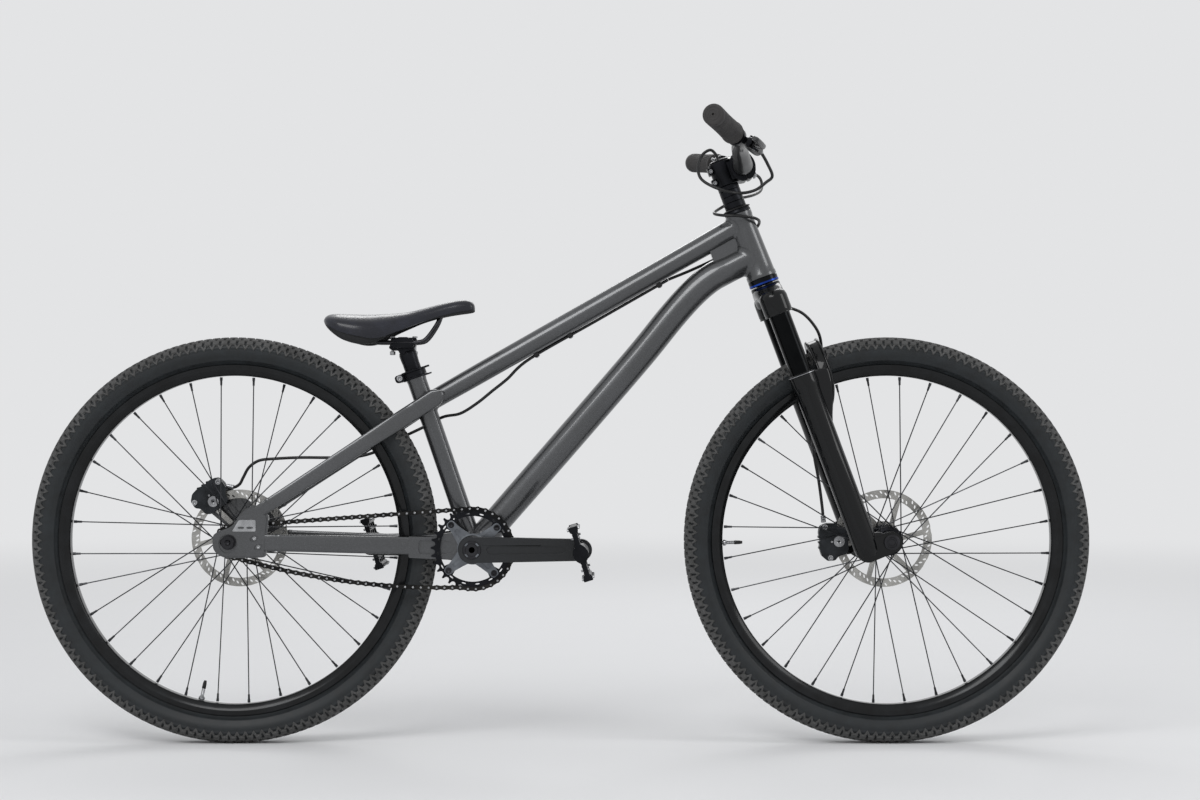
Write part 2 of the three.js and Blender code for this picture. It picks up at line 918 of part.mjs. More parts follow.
function pedalBody(side) {
  const inner = crank.innerFace + crank.thickness + pedal.armGap;
  const outer = inner + pedal.width;
  const halfThick = pedal.thickness / 2;
  const halfLength = pedal.length / 2;
  const block = box([-halfThick, inner, -halfLength], [halfThick, outer, halfLength]);
  const bearing = discAcross(pedal.tubeRadius, inner, outer);
  const bore = boreRound(pedal.axleRadius, roundSides.small);
  const hole = discAcross(bore, inner - fit.overrun, outer - pedal.endWall, roundSides.small);
  const windows = [-1, 1].map((end) => {
    const near = end * (pedal.tubeRadius + fit.overrun / 2);
    const far = end * (halfLength - pedal.rail);
    return box(
      [-halfThick - fit.overrun, inner + pedal.rail, Math.min(near, far)],
      [halfThick + fit.overrun, outer - pedal.rail, Math.max(near, far)],
    );
  });
  const body = cut(joined([block, bearing]), [hole, ...windows]);
  return towards(side, body).rotateY(-radians(pedal.leanDeg));
}

function drivePieces() {
  const pins = chainPins(chainLine());
  const ringPhase = toothPhase(bottomBracket, pins, 1);
  const cogPhase = toothPhase(rearAxle, pins, -1);
  const cranks = new THREE.Group();
  cranks.position.copy(bottomBracket);
  cranks.add(
    piece("chainring", chainring(ringPhase), finishes.darkSteel()),
    piece("crank_right", crankRight(), finishes.blackPaint()),
    piece("crank_left", crankLeft(), finishes.blackPaint()),
  );
  for (const [name, side] of [["right", -1], ["left", 1]]) {
    const pedalPlace = new THREE.Group();
    pedalPlace.position.set(-side * crank.length, 0, 0);
    pedalPlace.add(
      piece(`pedal_axle_${name}`, pedalAxle(side), finishes.steel()),
      piece(`pedal_${name}`, pedalBody(side), finishes.blackAlloy()),
    );
    cranks.add(pedalPlace);
  }
  const cogGroup = new THREE.Group();
  cogGroup.position.copy(rearAxle);
  cogGroup.add(piece("rear_cog", rearCog(cogPhase), finishes.steel()));
  return [cranks, cogGroup, piece("chain", chain(), finishes.darkSteel())];
}

// Frame
const seatMatrix = new THREE.Matrix4().makeRotationY(seatTilt).setPosition(bottomBracket);
const steerMatrix = new THREE.Matrix4().makeRotationY(steerTilt).setPosition(headBottom);

function onSeatTube(distance) {
  return bottomBracket.clone().addScaledVector(seatUp, distance);
}

function onSteeringAxis(distance) {
  return headBottom.clone().addScaledVector(steerUp, distance);
}

function stretched(points) {
  const first = points[0].clone().sub(points[1]).setLength(fit.overrun).add(points[0]);
  const last = points.at(-1).clone().sub(points.at(-2)).setLength(fit.overrun).add(points.at(-1));
  return [first, ...points.slice(1, -1), last];
}

function roundHalves(radii, grow = 0) {
  return radii.map((radius) => [radius + grow, radius + grow]);
}

function topTubeLine() {
  const seatEnd = onSeatTube(stayJointHeight);
  const headEnd = onSteeringAxis(topTube.headHeight);
  const flareShare = 1 - topTube.flareLength / seatEnd.distanceTo(headEnd);
  const points = [seatEnd, seatEnd.clone().lerp(headEnd, flareShare), headEnd];
  const seatRadius = seatTube.radius - fit.clearance;
  return { points, radii: [seatRadius, topTube.radius, topTube.flaredRadius] };
}

function downTubeLine() {
  const head = onSteeringAxis(downTube.headHeight);
  const chord = head.clone().sub(bottomBracket);
  const across = chord.clone().cross(leftward);
  const bendShares = [
    [0, 0],
    [0.42, 0.023],
    [0.63, 0.036],
    [0.75, 0.047],
    [0.83, 0.05],
    [0.89, 0.044],
    [0.947, 0.024],
    [1, 0],
  ];
  const points = bendShares.map(([along, rise]) =>
    bottomBracket.clone().addScaledVector(chord, along).addScaledVector(across, rise),
  );
  const endRadius = shell.radius - 2 * fit.clearance;
  const headRadius = headTube.bottomRadius - downTube.wall;
  const radii = points.map((_, i) => (i < 1 ? endRadius : downTube.radius));
  radii[points.length - 1] = headRadius;
  return { points, radii };
}

function headTubeSkin(grow) {
  const past = grow > 0 ? fit.overrun : 0;
  const profile = [
    [0, -past],
    [headTube.bottomRadius + grow, -past],
    [headTube.topRadius + grow, headTube.length + past],
    [0, headTube.length + past],
  ];
  return placed(turnedUpright(profile, roundSides.tube), steerMatrix);
}

function headTubeBody() {
  const bore = postUpright(headTube.bore, -fit.overrun, headTube.length + fit.overrun);
  return cut(headTubeSkin(0), [placed(bore, steerMatrix)]);
}

function shellSkin(grow) {
  const half = shell.width / 2 + (grow > 0 ? fit.overrun : 0);
  return discAcross(shell.radius + grow, -half, half).translate(...bottomBracket.toArray());
}

function seatTubeSkin(radius, low, high) {
  return placed(postUpright(radius, low, high), seatMatrix);
}

function tubeSkin(line, grow) {
  return tube(line.points, roundHalves(line.radii, grow), roundSides.tube);
}

function tubeBore(line, wall) {
  return tube(stretched(line.points), roundHalves(line.radii, -wall), roundSides.tube);
}

function topTubeBody() {
  const line = topTubeLine();
  const around = seatTubeSkin(seatTube.radius + fit.clearance, 0, seatTube.length);
  return cut(tubeSkin(line, 0), [tubeBore(line, topTube.wall), around, headTubeSkin(fit.clearance)]);
}

function downTubeBody() {
  const line = downTubeLine();
  const upper = topTubeLine();
  const upperHead = upper.points.at(-1);
  const backAlongTop = upper.points[1].clone().sub(upperHead).setLength(downTube.gussetLength);
  const backAlongDown = line.points.at(-3).clone().sub(line.points.at(-1));
  const corners = [
    line.points.at(-1),
    upperHead,
    upperHead.clone().add(backAlongTop),
    line.points.at(-1).clone().add(backAlongDown.setLength(downTube.gussetLength)),
  ];
  const half = downTube.gussetThickness / 2;
  const gusset = plate(corners.map(({ x, z }) => [x, z]), -half, half);
  return cut(joined([tubeSkin(line, 0), gusset]), [
    tubeBore(line, downTube.wall),
    shellSkin(fit.clearance),
    headTubeSkin(fit.clearance),
    tubeSkin(upper, fit.clearance),
  ]);
}

function seatTubeBody() {
  const skin = seatTubeSkin(seatTube.radius, 0, seatTube.length);
  const bore = seatTubeSkin(seatTube.bore, -fit.overrun, seatTube.length + fit.overrun);
  return cut(skin, [bore, shellSkin(fit.clearance), tubeSkin(downTubeLine(), fit.clearance)]);
}

// The shell with the forked yoke behind it that carries the chain stays past the tyre
function bottomBracketShell() {
  const end = bottomBracket.x - yoke.reach;
  const floor = bottomBracket.z - yoke.height / 2 + yoke.rise;
  const roof = floor + yoke.height;
  const front = bottomBracket.x - shell.radius / 2;
  const tyreEdge = rearAxle.x + wheel.tyreRadius + yoke.tyreGap;
  const fork = box([end, -yoke.plateOuter, floor], [tyreEdge + yoke.tyreGap, yoke.plateOuter, roof]);
  const half = shell.width / 2;
  const bridge = box([tyreEdge, -half, floor], [front, half, roof]);
  const slot = box(
    [end - fit.overrun, -yoke.plateInner, floor - fit.overrun],
    [tyreEdge, yoke.plateInner, roof + fit.overrun],
  );
  const seat = seatTubeSkin(seatTube.radius + fit.clearance, 0, seatTube.length);
  const bore = discAcross(shell.bore, -shell.width, shell.width);
  const around = cut(joined([fork, bridge]), [slot, seat]);
  return cut(joined([shellSkin(0), around]), [bore.translate(...bottomBracket.toArray())]);
}

function dropoutPlate(side, grow = 0) {
  const inner = rearHub.width / 2;
  const outlineShares = [
    [-0.42, -0.22],
    [-0.15, -0.42],
    [0.5, -0.42],
    [1, -0.4],
    [1.02, 0.1],
    [1.08, 0.72],
    [0.7, 1.02],
    [0.36, 0.83],
    [0.1, 0.42],
    [-0.2, 0.32],
    [-0.43, 0.2],
  ];
  const mountShares = [
    [-0.9, 0.72],
    [-0.42, 1.42],
    [0.1, 1.1],
    [0.5, 0.8],
    [0.2, 0.15],
    [-0.3, 0.22],
  ];
  const sized = (shares) => shares.map(([x, z]) => [x * dropout.reach, z * dropout.reach]);
  const plates = [plate(sized(outlineShares), inner - grow, inner + dropout.thickness + grow)];
  if (side > 0) {
    plates.push(plate(sized(mountShares), inner - grow, inner + dropout.thickness + grow));
  }
  const outer = inner + dropout.thickness + fit.overrun;
  const slot = box(
    [-dropout.reach, inner - fit.overrun, -dropout.slotHalfHeight],
    [dropout.slotDepth, outer, dropout.slotHalfHeight],
  );
  const body = grow > 0 ? joined(plates) : cut(joined(plates), [slot]);
  return towards(side, body).translate(...rearAxle.toArray());
}

function chainStayBody(side) {
  const end = bottomBracket.x - yoke.reach - fit.clearance;
  const start = end + fit.overrun;
  const slope = (rearAxle.z - bottomBracket.z) / (rearAxle.x - bottomBracket.x);
  const startY = (yoke.plateInner + yoke.plateOuter) / 2;
  const endY = rearHub.width / 2 + dropout.thickness / 2;
  const pathShares = [
    [0, 0, 0],
    [0.12, 0.06, 0.6],
    [0.55, 0.64, 1],
    [0.78, 0.93, 0.8],
    [0.87, 1, 0.4],
  ];
  const points = pathShares.map(([along, out]) => {
    const x = start + (rearAxle.x - start) * along;
    const z = bottomBracket.z + (x - bottomBracket.x) * slope;
    return new THREE.Vector3(x, startY + (endY - startY) * out, z);
  });
  const extra = chainStay.middleThickness - chainStay.startThickness;
  const halves = pathShares.map(([, , swell]) => [
    (chainStay.startThickness + extra * swell) / 2,
    chainStay.height / 2,
  ]);
  const stay = towards(side, barThrough(points, halves, chamferedSection(stayChamferShare)));
  const wide = rearHub.width;
  const yokeSide = box([end, -wide, 0], [end + wide, wide, bottomBracket.z + wide]);
  return joined([cut(stay, [yokeSide]), dropoutPlate(side)]);
}

function seatStayBody(side) {
  const joint = onSeatTube(stayJointHeight);
  const end = rearAxle.clone();
  end.x += dropout.stayAhead;
  end.z += dropout.stayRise;
  const aheadShare = seatStay.lugAhead / joint.distanceTo(end);
  const lugY = topTube.radius + fit.clearance + seatStay.lugThickness / 2;
  const endY = rearHub.width / 2 + dropout.thickness / 2;
  const pathShares = [
    [-aheadShare, 0, 0.75],
    [-aheadShare * 0.7, 0, 1],
    [0.06, 0.01, 1],
    [0.2, 0.27, 0.85],
    [0.4, 0.46, 0.5],
    [0.7, 0.73, 0.25],
    [0.93, 1, 0],
    [1, 1, 0],
  ];
  const points = pathShares.map(([along, out]) => {
    const point = joint.clone().lerp(end, along);
    point.y = lugY + (endY - lugY) * out;
    return point;
  });
  const halves = pathShares.map(([, , swell]) => [
    (seatStay.endThickness + (seatStay.lugThickness - seatStay.endThickness) * swell) / 2,
    (seatStay.endHeight + (seatStay.lugHeight - seatStay.endHeight) * swell) / 2,
  ]);
  const stay = towards(side, barThrough(points, halves, chamferedSection(stayChamferShare)));
  return cut(stay, [dropoutPlate(side, fit.clearance)]);
}

function rearAxleBody() {
  const plateOuter = rearHub.width / 2 + dropout.thickness + fit.clearance;
  const nutOuter = plateOuter + axleEnds.nutThickness;
  const shaft = discAcross(rearHub.axleRadius, -nutOuter, nutOuter, roundSides.small);
  const nuts = [-1, 1].map((side) =>
    towards(side, discAcross(axleEnds.nutRadius, plateOuter, nutOuter, roundSides.nut)),
  );
  return joined([shaft, ...nuts]).translate(...rearAxle.toArray());
}

function bearingUnit() {
  const half = shell.width / 2;
  const outer = half + bearings.cupWidth;
  const bore = boreRound(crank.spindleRadius, roundSides.tube);
  const profile = [
    [bore, -outer],
    [bearings.cupRadius, -outer],
    [bearings.cupRadius, -half - fit.clearance],
    [shell.bore - fit.clearance, -half - fit.clearance],
    [shell.bore - fit.clearance, half + fit.clearance],
    [bearings.cupRadius, half + fit.clearance],
    [bearings.cupRadius, outer],
    [bore, outer],
  ];
  return turned(profile, roundSides.tube).translate(...bottomBracket.toArray());
}

function seatCollar() {
  const low = seatTube.length - collar.height + collar.lip;
  const high = seatTube.length + collar.lip;
  const ringInner = seatTube.radius + fit.clearance;
  const earHalf = collar.earWidth / 2;
  const hoop = postUpright(collar.radius, low, high);
  const ear = box([-collar.radius - collar.earLength, -earHalf, low], [0, earHalf, high]);
  const tab = box([0, -earHalf / 2, low], [collar.radius + collar.earLength / 2, earHalf / 2, high]);
  const bore = postUpright(ringInner, low - fit.overrun, high + fit.overrun);
  return placed(cut(joined([hoop, ear, tab]), [bore]), seatMatrix);
}

function headsetCup(low, high, radius, skirtLow, skirtHigh) {
  const inner = boreRound(headset.steererRadius, roundSides.tube);
  const skirt = headTube.bore - fit.clearance;
  const cup = postUpright(radius, low, high);
  const insert = postUpright(skirt, skirtLow, skirtHigh);
  const past = fit.overrun + headset.skirtLength;
  const bore = postUpright(inner, low - past, high + past);
  return placed(cut(joined([cup, insert]), [bore]), steerMatrix);
}

function framePieces() {
  const topStart = headTube.length + fit.clearance;
  const upperCup = headsetCup(
    topStart,
    headTube.length + headset.upperStack,
    headset.upperRadius,
    headTube.length - headset.skirtLength,
    topStart + fit.clearance,
  );
  const lowerCup = headsetCup(
    -headset.lowerStack,
    -fit.clearance,
    headset.lowerRadius,
    -2 * fit.clearance,
    headset.skirtLength,
  );
  return [
    piece("head_tube", headTubeBody(), finishes.framePaint()),
    piece("top_tube", topTubeBody(), finishes.framePaint()),
    piece("down_tube", downTubeBody(), finishes.framePaint()),
    piece("seat_tube", seatTubeBody(), finishes.framePaint()),
    piece("bottom_bracket_shell", bottomBracketShell(), finishes.framePaint()),
    piece("chainstay_right", chainStayBody(-1), finishes.framePaint()),
    piece("chainstay_left", chainStayBody(1), finishes.framePaint()),
    piece("seatstay_right", seatStayBody(-1), finishes.framePaint()),
    piece("seatstay_left", seatStayBody(1), finishes.framePaint()),
    piece("rear_axle", rearAxleBody(), finishes.darkSteel()),
    piece("bottom_bracket", bearingUnit(), finishes.blackAlloy()),
    piece("seat_collar", seatCollar(), finishes.blackAlloy()),
    piece("headset_upper_cup", upperCup, finishes.blackAlloy()),
    piece("headset_lower_cup", lowerCup, finishes.blueAlloy()),
  ];
}

// Seat
const railPlace = onSeatTube(railHeight);

function rails(radius) {
  const half = saddle.railSpacing / 2;
  const halfRouteShares = [
    [-0.33, 0.86, 0.52],
    [-0.26, 0.98, 0.16],
    [-0.155, 1, 0],
    [0, 1, 0],
    [0.1, 1, 0],
    [0.155, 0.95, 0.12],
    [0.22, 0.62, 0.62],
    [0.255, 0.25, 1.06],
  ];
  const halfRoute = halfRouteShares.map(([along, out, rise]) => [
    along * saddle.length,
    out * half,
    rise * saddle.railSpacing,
  ]);
  const other = halfRoute.map(([x, y, z]) => [x, -y, z]).reverse();
  const path = new THREE.CatmullRomCurve3(
    [...halfRoute, ...other].map(([x, y, z]) => new THREE.Vector3(x, y, z)),
  );
  const settings = { steps: saddle.railSteps, bevelEnabled: false, extrudePath: path };
  const wire = new THREE.ExtrudeGeometry(shapeOf(circle(radius, roundSides.hose)), settings);
  return closed(wire).translate(...railPlace.toArray());
}

// Stations from tail to nose: place, half width, top, skirt, all as shares
function saddleBody() {
  const stationShares = [
    [-0.525, 0.42, 0.56, 0.46],
    [-0.485, 0.76, 0.66, 0.3],
    [-0.39, 0.97, 0.66, 0.06],
    [-0.262, 1, 0.65, -0.06],
    [-0.13, 0.88, 0.66, 0.11],
    [0.04, 0.58, 0.71, 0.34],
    [0.21, 0.36, 0.86, 0.55],
    [0.37, 0.28, 0.99, 0.66],
    [0.45, 0.2, 0.95, 0.69],
    [0.475, 0.1, 0.84, 0.72],
  ];
  const steps = 8;
  const undersideShares = [0.78, 0.4, 0, -0.4, -0.78];
  const rings = stationShares.map(([along, wide, top, skirt]) => {
    const x = along * saddle.length;
    const half = (wide * saddle.width) / 2;
    const [roof, hem] = [top * saddle.noseTop, skirt * saddle.noseTop];
    const outer = Array.from({ length: steps + 1 }, (_, i) => {
      const turn = Math.PI / 2 - (Math.PI * i) / steps;
      const lift = Math.max(Math.cos(turn), 0) ** saddle.roundingPower;
      return new THREE.Vector3(x, half * Math.sin(turn), hem + (roof - hem) * lift);
    });
    const inner = undersideShares.map((share) => {
      const rise = saddle.hollowShare * (1 - share * share);
      return new THREE.Vector3(x, -half * share, hem + (roof - hem) * rise);
    });
    return [...outer, ...inner];
  });
  const capOutline = rings[0].map(({ y, z }) => new THREE.Vector2(y, z));
  const capFaces = THREE.ShapeUtils.triangulateShape(capOutline, []);
  const skin = loft(rings, false, capFaces).translate(...railPlace.toArray());
  return cut(skin, [rails(saddle.railRadius + fit.clearance)]);
}

function clampBlock(low, high) {
  const half = saddle.clampLength / 2;
  const wide = saddle.railSpacing / 2 + saddle.railRadius + saddle.clampWall;
  const block = box([-half, -wide, low], [half, wide, high]).translate(...railPlace.toArray());
  return cut(block, [rails(saddle.railRadius + fit.clearance)]);
}

function seatpostBody() {
  const top = railHeight - seatpost.headHeight / 2;
  const shaft = placed(
    postUpright(seatTube.bore - fit.clearance, top - seatpost.length, top),
    seatMatrix,
  );
  return joined([shaft, clampBlock(-seatpost.headHeight, -fit.clearance / 2)]);
}

function seatPieces() {
  return [
    piece("seatpost", seatpostBody(), finishes.blackAlloy()),
    piece("saddle", saddleBody(), finishes.cover()),
    piece("saddle_rails", rails(saddle.railRadius), finishes.darkSteel()),
    piece("saddle_clamp", clampBlock(fit.clearance / 2, saddle.clampHeight), finishes.blackAlloy()),
  ];
}

// Fork, in the steering axis's own directions: forward, left and up along the axis
function forkCrown() {
  const half = layout.legSpacing / 2;
  const raceTop = -headset.lowerStack - fit.clearance;
  const floor = layout.forkTravel + wheel.tyreRadius + fork.crownTyreGap - axleDrop;
  const shoulder = wheel.tyreWidth / 2 + fork.crownTyreGap;
  const neck = headset.lowerRadius;
  const outline = [
    [neck, raceTop],
    [half, -fork.socketTop],
    [half, -fork.socketBottom + fork.socketTop / 4],
    [half - fork.socketRadius / 2, -fork.socketBottom + fork.socketTop / 4],
    [shoulder, floor],
  ];
  const opposite = outline.map(([y, z]) => [-y, z]).reverse();
  const bridge = crossPlate([...outline, ...opposite], -fork.crownHalfDepth, fork.crownHalfDepth);
  const steererTube = postUpright(
    headset.steererRadius,
    floor + fit.overrun,
    steerer.top - fork.steererInset,
  );
  const bore = postUpright(steerer.bore, floor - fit.overrun, steerer.top + fit.overrun);
  const legs = [-half, half].flatMap((y) => [
    postUpright(fork.socketRadius, -fork.socketBottom, -fork.socketTop).translate(0, y, 0),
    postUpright(
      fork.stanchionRadius,
      -fork.socketTop - fork.stanchionLength,
      -fork.socketTop - fork.stanchionWall,
    ).translate(0, y, 0),
  ]);
  const legBores = [-half, half].map((y) =>
    postUpright(
      fork.stanchionRadius - fork.stanchionWall,
      -fork.socketTop - fork.stanchionLength - fit.overrun,
      -fork.socketBottom,
    ).translate(0, y, 0),
  );
  return cut(joined([bridge, steererTube, ...legs]), [bore, ...legBores]);
}

function axleHole(radius) {
  const wide = fork.lugOuter + fit.overrun;
  return discAcross(radius + fit.clearance, -wide, wide).translate(layout.forkOffset, 0, -axleDrop);
}

function forkArch() {
  const innerTop = wheel.tyreRadius - axleDrop + fork.archTyreGap;
  const outerTop = innerTop + fork.archBand;
  const [inner, outer] = [fork.archInnerHalf, fork.archOuterHalf];
  const band = outer - inner;
  const left = [
    [outer, -fork.archRoot],
    [outer, -fork.archRoot + band],
    [outer - band / 2, outerTop - band],
    [inner - band / 3, outerTop],
  ];
  const inside = [
    [inner - fork.archBand, innerTop],
    [inner, innerTop - fork.archBand],
    [inner, -fork.archRoot],
  ];
  const opposite = (list) => list.map(([y, z]) => [-y, z]).reverse();
  const outline = [...left, ...opposite(left), ...opposite(inside), ...inside];
  return crossPlate(outline, fork.archFront - fork.archThickness, fork.archFront);
}

function forkLowers() {
  const half = layout.legSpacing / 2;
  const hubFace = frontHub.width / 2 + fit.clearance;
  const blockTop = -fork.archRoot + fork.archOuterHalf - fork.archInnerHalf;
  const sides = [-1, 1].flatMap((side) => {
    const leg = postUpright(fork.legRadius, -fork.legBottom, -fork.legTop).translate(0, half, 0);
    const lugOutline = stadium(fork.lugRootRadius, fork.lugRadius, layout.forkOffset, 6);
    const lug = plate(lugOutline, hubFace, fork.lugOuter).translate(0, 0, -axleDrop);
    const root = box(
      [0, fork.archInnerHalf + fork.archBand, -fork.archRoot],
      [fork.archFront - fork.archThickness / 2, half, blockTop],
    );
    return [leg, lug, root].map((geometry) => towards(side, geometry));
  });
  const bracket = box(
    [-fork.legRadius - caliper.mountWidth, caliperOuterFace(frontHub) + fit.clearance, -fork.legBottom],
    [-fork.legRadius / 2, half, -fork.legBottom + 2 * caliper.halfLength],
  );
  const bores = [-half, half].map((y) =>
    postUpright(
      fork.stanchionRadius + fit.clearance,
      -fork.legBottom + fork.legFloor,
      -fork.legTop + fit.overrun,
    ).translate(0, y, 0),
  );
  const body = joined([...sides, forkArch(), bracket]);
  return cut(body, [...bores, axleHole(frontHub.axleRadius)]);
}

function frontAxleBody() {
  const end = fork.lugOuter + fit.clearance;
  const shaft = discAcross(frontHub.axleRadius, -end, end, roundSides.tube);
  const heads = [-1, 1].map((side) =>
    towards(side, discAcross(axleEnds.headRadius, end, end + axleEnds.headThickness)),
  );
  return joined([shaft, ...heads]).translate(layout.forkOffset, 0, -axleDrop);
}

// A brake caliper round the rotor's edge, about the wheel's axle
function caliperOuterFace(hub) {
  return hub.rotorPlane + caliper.frontOuter;
}

function caliperBody(hub, innerReach, outerFace, turn) {
  const middle = rotor.radius - caliper.padReach;
  const far = rotor.radius + caliper.outerReach;
  const body = box(
    [middle, hub.rotorPlane - innerReach, -caliper.halfLength],
    [far, outerFace, caliper.halfLength],
  );
  const slotHalf = rotor.thickness / 2 + caliper.halfSlot;
  const slot = box(
    [middle - fit.overrun, hub.rotorPlane - slotHalf, -caliper.halfLength - fit.overrun],
    [rotor.radius + fit.overrun, hub.rotorPlane + slotHalf, caliper.halfLength + fit.overrun],
  );
  return cut(body, [slot]).rotateY(-turn);
}

function frontCaliper() {
  const half = layout.legSpacing / 2;
  const turn = radians(caliper.frontAngleDeg);
  const body = caliperBody(frontHub, caliper.frontInner, caliperOuterFace(frontHub), turn);
  const leg = postUpright(fork.legRadius + fit.clearance, -fork.legBottom - axleDrop, 0);
  return cut(body.translate(layout.forkOffset, 0, -axleDrop), [leg.translate(0, half, 0)]);
}

function rearCaliper() {
  const outerFace = rearHub.width / 2 - fit.clearance;
  const turn = radians(caliper.rearAngleDeg);
  const body = caliperBody(rearHub, caliper.rearInner, outerFace, turn);
  return body.translate(...rearAxle.toArray());
}

// Cockpit
const barMiddle = new THREE.Vector3(stem.reach, 0, steerer.top - stem.height / 2);

function barLine() {
  const bendShares = [
    [0.14, 0.2],
    [0.55, 0.78],
    [1, 1],
  ];
  const spread = bar.bendHalf - bar.clampHalf;
  const bends = bendShares.map(([out, rise]) =>
    new THREE.Vector3(
      -bar.bendSweep * rise,
      bar.clampHalf + spread * out,
      bar.bendRise * rise,
    ),
  );
  const end = new THREE.Vector3(-bar.endSweep, bar.halfWidth, bar.endRise);
  const half = [new THREE.Vector3(0, bar.clampHalf, 0), ...bends, end];
  const swell = (bar.centreRadius - bar.endRadius) * bar.swellShare;
  const radii = [bar.centreRadius, bar.centreRadius - swell, bar.endRadius + swell];
  radii.push(bar.endRadius, bar.endRadius);
  const other = half.map(({ x, y, z }) => new THREE.Vector3(x, -y, z)).reverse();
  const points = [...other, ...half].map((point) => point.add(barMiddle));
  return { points, radii: [...radii.slice().reverse(), ...radii] };
}

function handlebar() {
  const { points, radii } = barLine();
  const skin = tube(points, roundHalves(radii), roundSides.bar, up);
  const inside = tube(stretched(points), roundHalves(radii, -bar.wall), roundSides.bar, up);
  return cut(skin, [inside]);
}

// The directions at the bar's straight end: forward, outward and up
function barEndMatrix() {
  const { points } = barLine();
  const [bend, end] = points.slice(-2);
  const outward = end.clone().sub(bend).normalize();
  const above = up.clone().addScaledVector(outward, -up.dot(outward)).normalize();
  const ahead = outward.clone().cross(above);
  return new THREE.Matrix4().makeBasis(ahead, outward, above).setPosition(end);
}

function gripBody(side) {
  const inner = boreRound(bar.endRadius, roundSides.tube);
  const profile = [
    [inner, -grip.length],
    [grip.ringRadius, -grip.length],
    [grip.ringRadius, -grip.length + grip.ringWidth],
    [grip.radius, -grip.length + grip.ringWidth],
    [grip.radius, grip.endCap],
    [grip.hole, grip.endCap],
    [grip.hole, fit.clearance],
    [inner, fit.clearance],
  ];
  return towards(side, placed(turned(profile, roundSides.tube), barEndMatrix()));
}

function leverMatrix() {
  const tilt = new THREE.Matrix4().makeRotationY(radians(lever.tiltDeg));
  tilt.setPosition(0, -lever.clampOffset, 0);
  return barEndMatrix().multiply(tilt);
}

function flatPlate(outline, low, high, holes = []) {
  const settings = { depth: high - low, bevelEnabled: false };
  return new THREE.ExtrudeGeometry(shapeOf(outline, holes), settings).translate(0, 0, low);
}

// A strip that follows points, each with its half width, with round ends
function ribbon(points, widths) {
  const sides = points.map(([x, y], i) => {
    const [x0, y0] = points[Math.max(i - 1, 0)];
    const [x1, y1] = points[Math.min(i + 1, points.length - 1)];
    const along = Math.atan2(y1 - y0, x1 - x0);
    return { x, y, along, width: widths[i] };
  });
  const [first, last] = [sides[0], sides.at(-1)];
  const quarter = Math.PI / 2;
  const rightHand = sides.slice(1, -1).map(({ x, y, along, width }) => {
    const [dx, dy] = polar(width, along - quarter);
    return [x + dx, y + dy];
  });
  const leftHand = sides.slice(1, -1).map(({ x, y, along, width }) => {
    const [dx, dy] = polar(width, along + quarter);
    return [x + dx, y + dy];
  });
  return [
    ...arc(first.width, first.along + quarter, first.along + 3 * quarter, 4, [first.x, first.y]),
    ...rightHand,
    ...arc(last.width, last.along - quarter, last.along + quarter, 4, [last.x, last.y]),
    ...leftHand.reverse(),
  ];
}

function brakeMaster(side) {
  const half = lever.clampWidth / 2;
  const inner = boreRound(bar.endRadius, roundSides.tube);
  const clampOuter = bar.endRadius + lever.clampWall;
  const middle = (lever.bodyStart + lever.bodyEnd) / 2;
  const tankRadius = (lever.bodyEnd - lever.bodyStart) / 2;
  const gap = lever.bladeThickness / 2 + fit.clearance;
  const earHalf = lever.bodyHalfHeight;
  const pivotY = lever.pivotRadius + half;
  const clamp = discAcross(clampOuter, -half, half);
  const tank = discAcross(tankRadius, -lever.bodyInboard, half).translate(middle, 0, 0);
  const neck = box([0, -half, -earHalf / 2], [middle, half, earHalf / 2]);
  const ears = box(
    [middle, -half, -earHalf],
    [lever.pivotReach + lever.pivotRadius, pivotY + lever.pivotRadius, earHalf],
  );
  const slot = box(
    [lever.bodyEnd - lever.pivotRadius, half + fit.clearance, -gap],
    [lever.pivotReach + 2 * lever.pivotRadius, pivotY + 2 * lever.pivotRadius, gap],
  );
  const pin = postUpright(lever.pinRadius, -earHalf, earHalf, roundSides.pin);
  const bore = discAcross(inner, -half - fit.overrun, half + fit.overrun);
  const body = cut(joined([clamp, tank, neck, ears]), [bore, slot]);
  const pinned = joined([body, pin.translate(lever.pivotReach, pivotY, 0)]);
  return towards(side, placed(pinned, leverMatrix()));
}

function brakeLever(side) {
  const pivotY = lever.pivotRadius + lever.clampWidth / 2;
  const half = lever.bladeWidth / 2;
  const ahead = lever.bladeReach - lever.pivotReach;
  const pathShares = [
    [0, 0, 1.35],
    [0.45, 0.2, 1.1],
    [0.9, 0.42, 1],
    [1, 0.7, 1],
    [0.92, 1, 1.3],
  ];
  const points = pathShares.map(([out, along]) => [
    lever.pivotReach + ahead * out,
    pivotY + lever.bladeLength * along,
  ]);
  const widths = pathShares.map(([, , swell]) => half * swell);
  const hole = circle(boreRound(lever.pinRadius, roundSides.pin), roundSides.pin, points[0]);
  const thick = lever.bladeThickness / 2;
  const blade = flatPlate(ribbon(points, widths), -thick, thick, [hole]);
  return towards(side, placed(blade, leverMatrix()));
}

function stemBlank() {
  const low = steerer.top - stem.height;
  const clampHalf = stem.barClampWidth / 2;
  const clamp = postUpright(stem.clampRadius, low, steerer.top);
  const body = box(
    [0, -stem.bodyHalfWidth, barMiddle.z - stem.bodyHalfHeight],
    [stem.reach, stem.bodyHalfWidth, barMiddle.z + stem.bodyHalfHeight],
  );
  const barClamp = discAcross(stem.barClampRadius, -clampHalf, clampHalf);
  return { clamp, body, barClamp: barClamp.translate(barMiddle.x, 0, barMiddle.z) };
}

function barHole() {
  const wide = stem.barClampWidth;
  const radius = boreRound(bar.centreRadius, roundSides.tube);
  return discAcross(radius, -wide, wide).translate(barMiddle.x, 0, barMiddle.z);
}

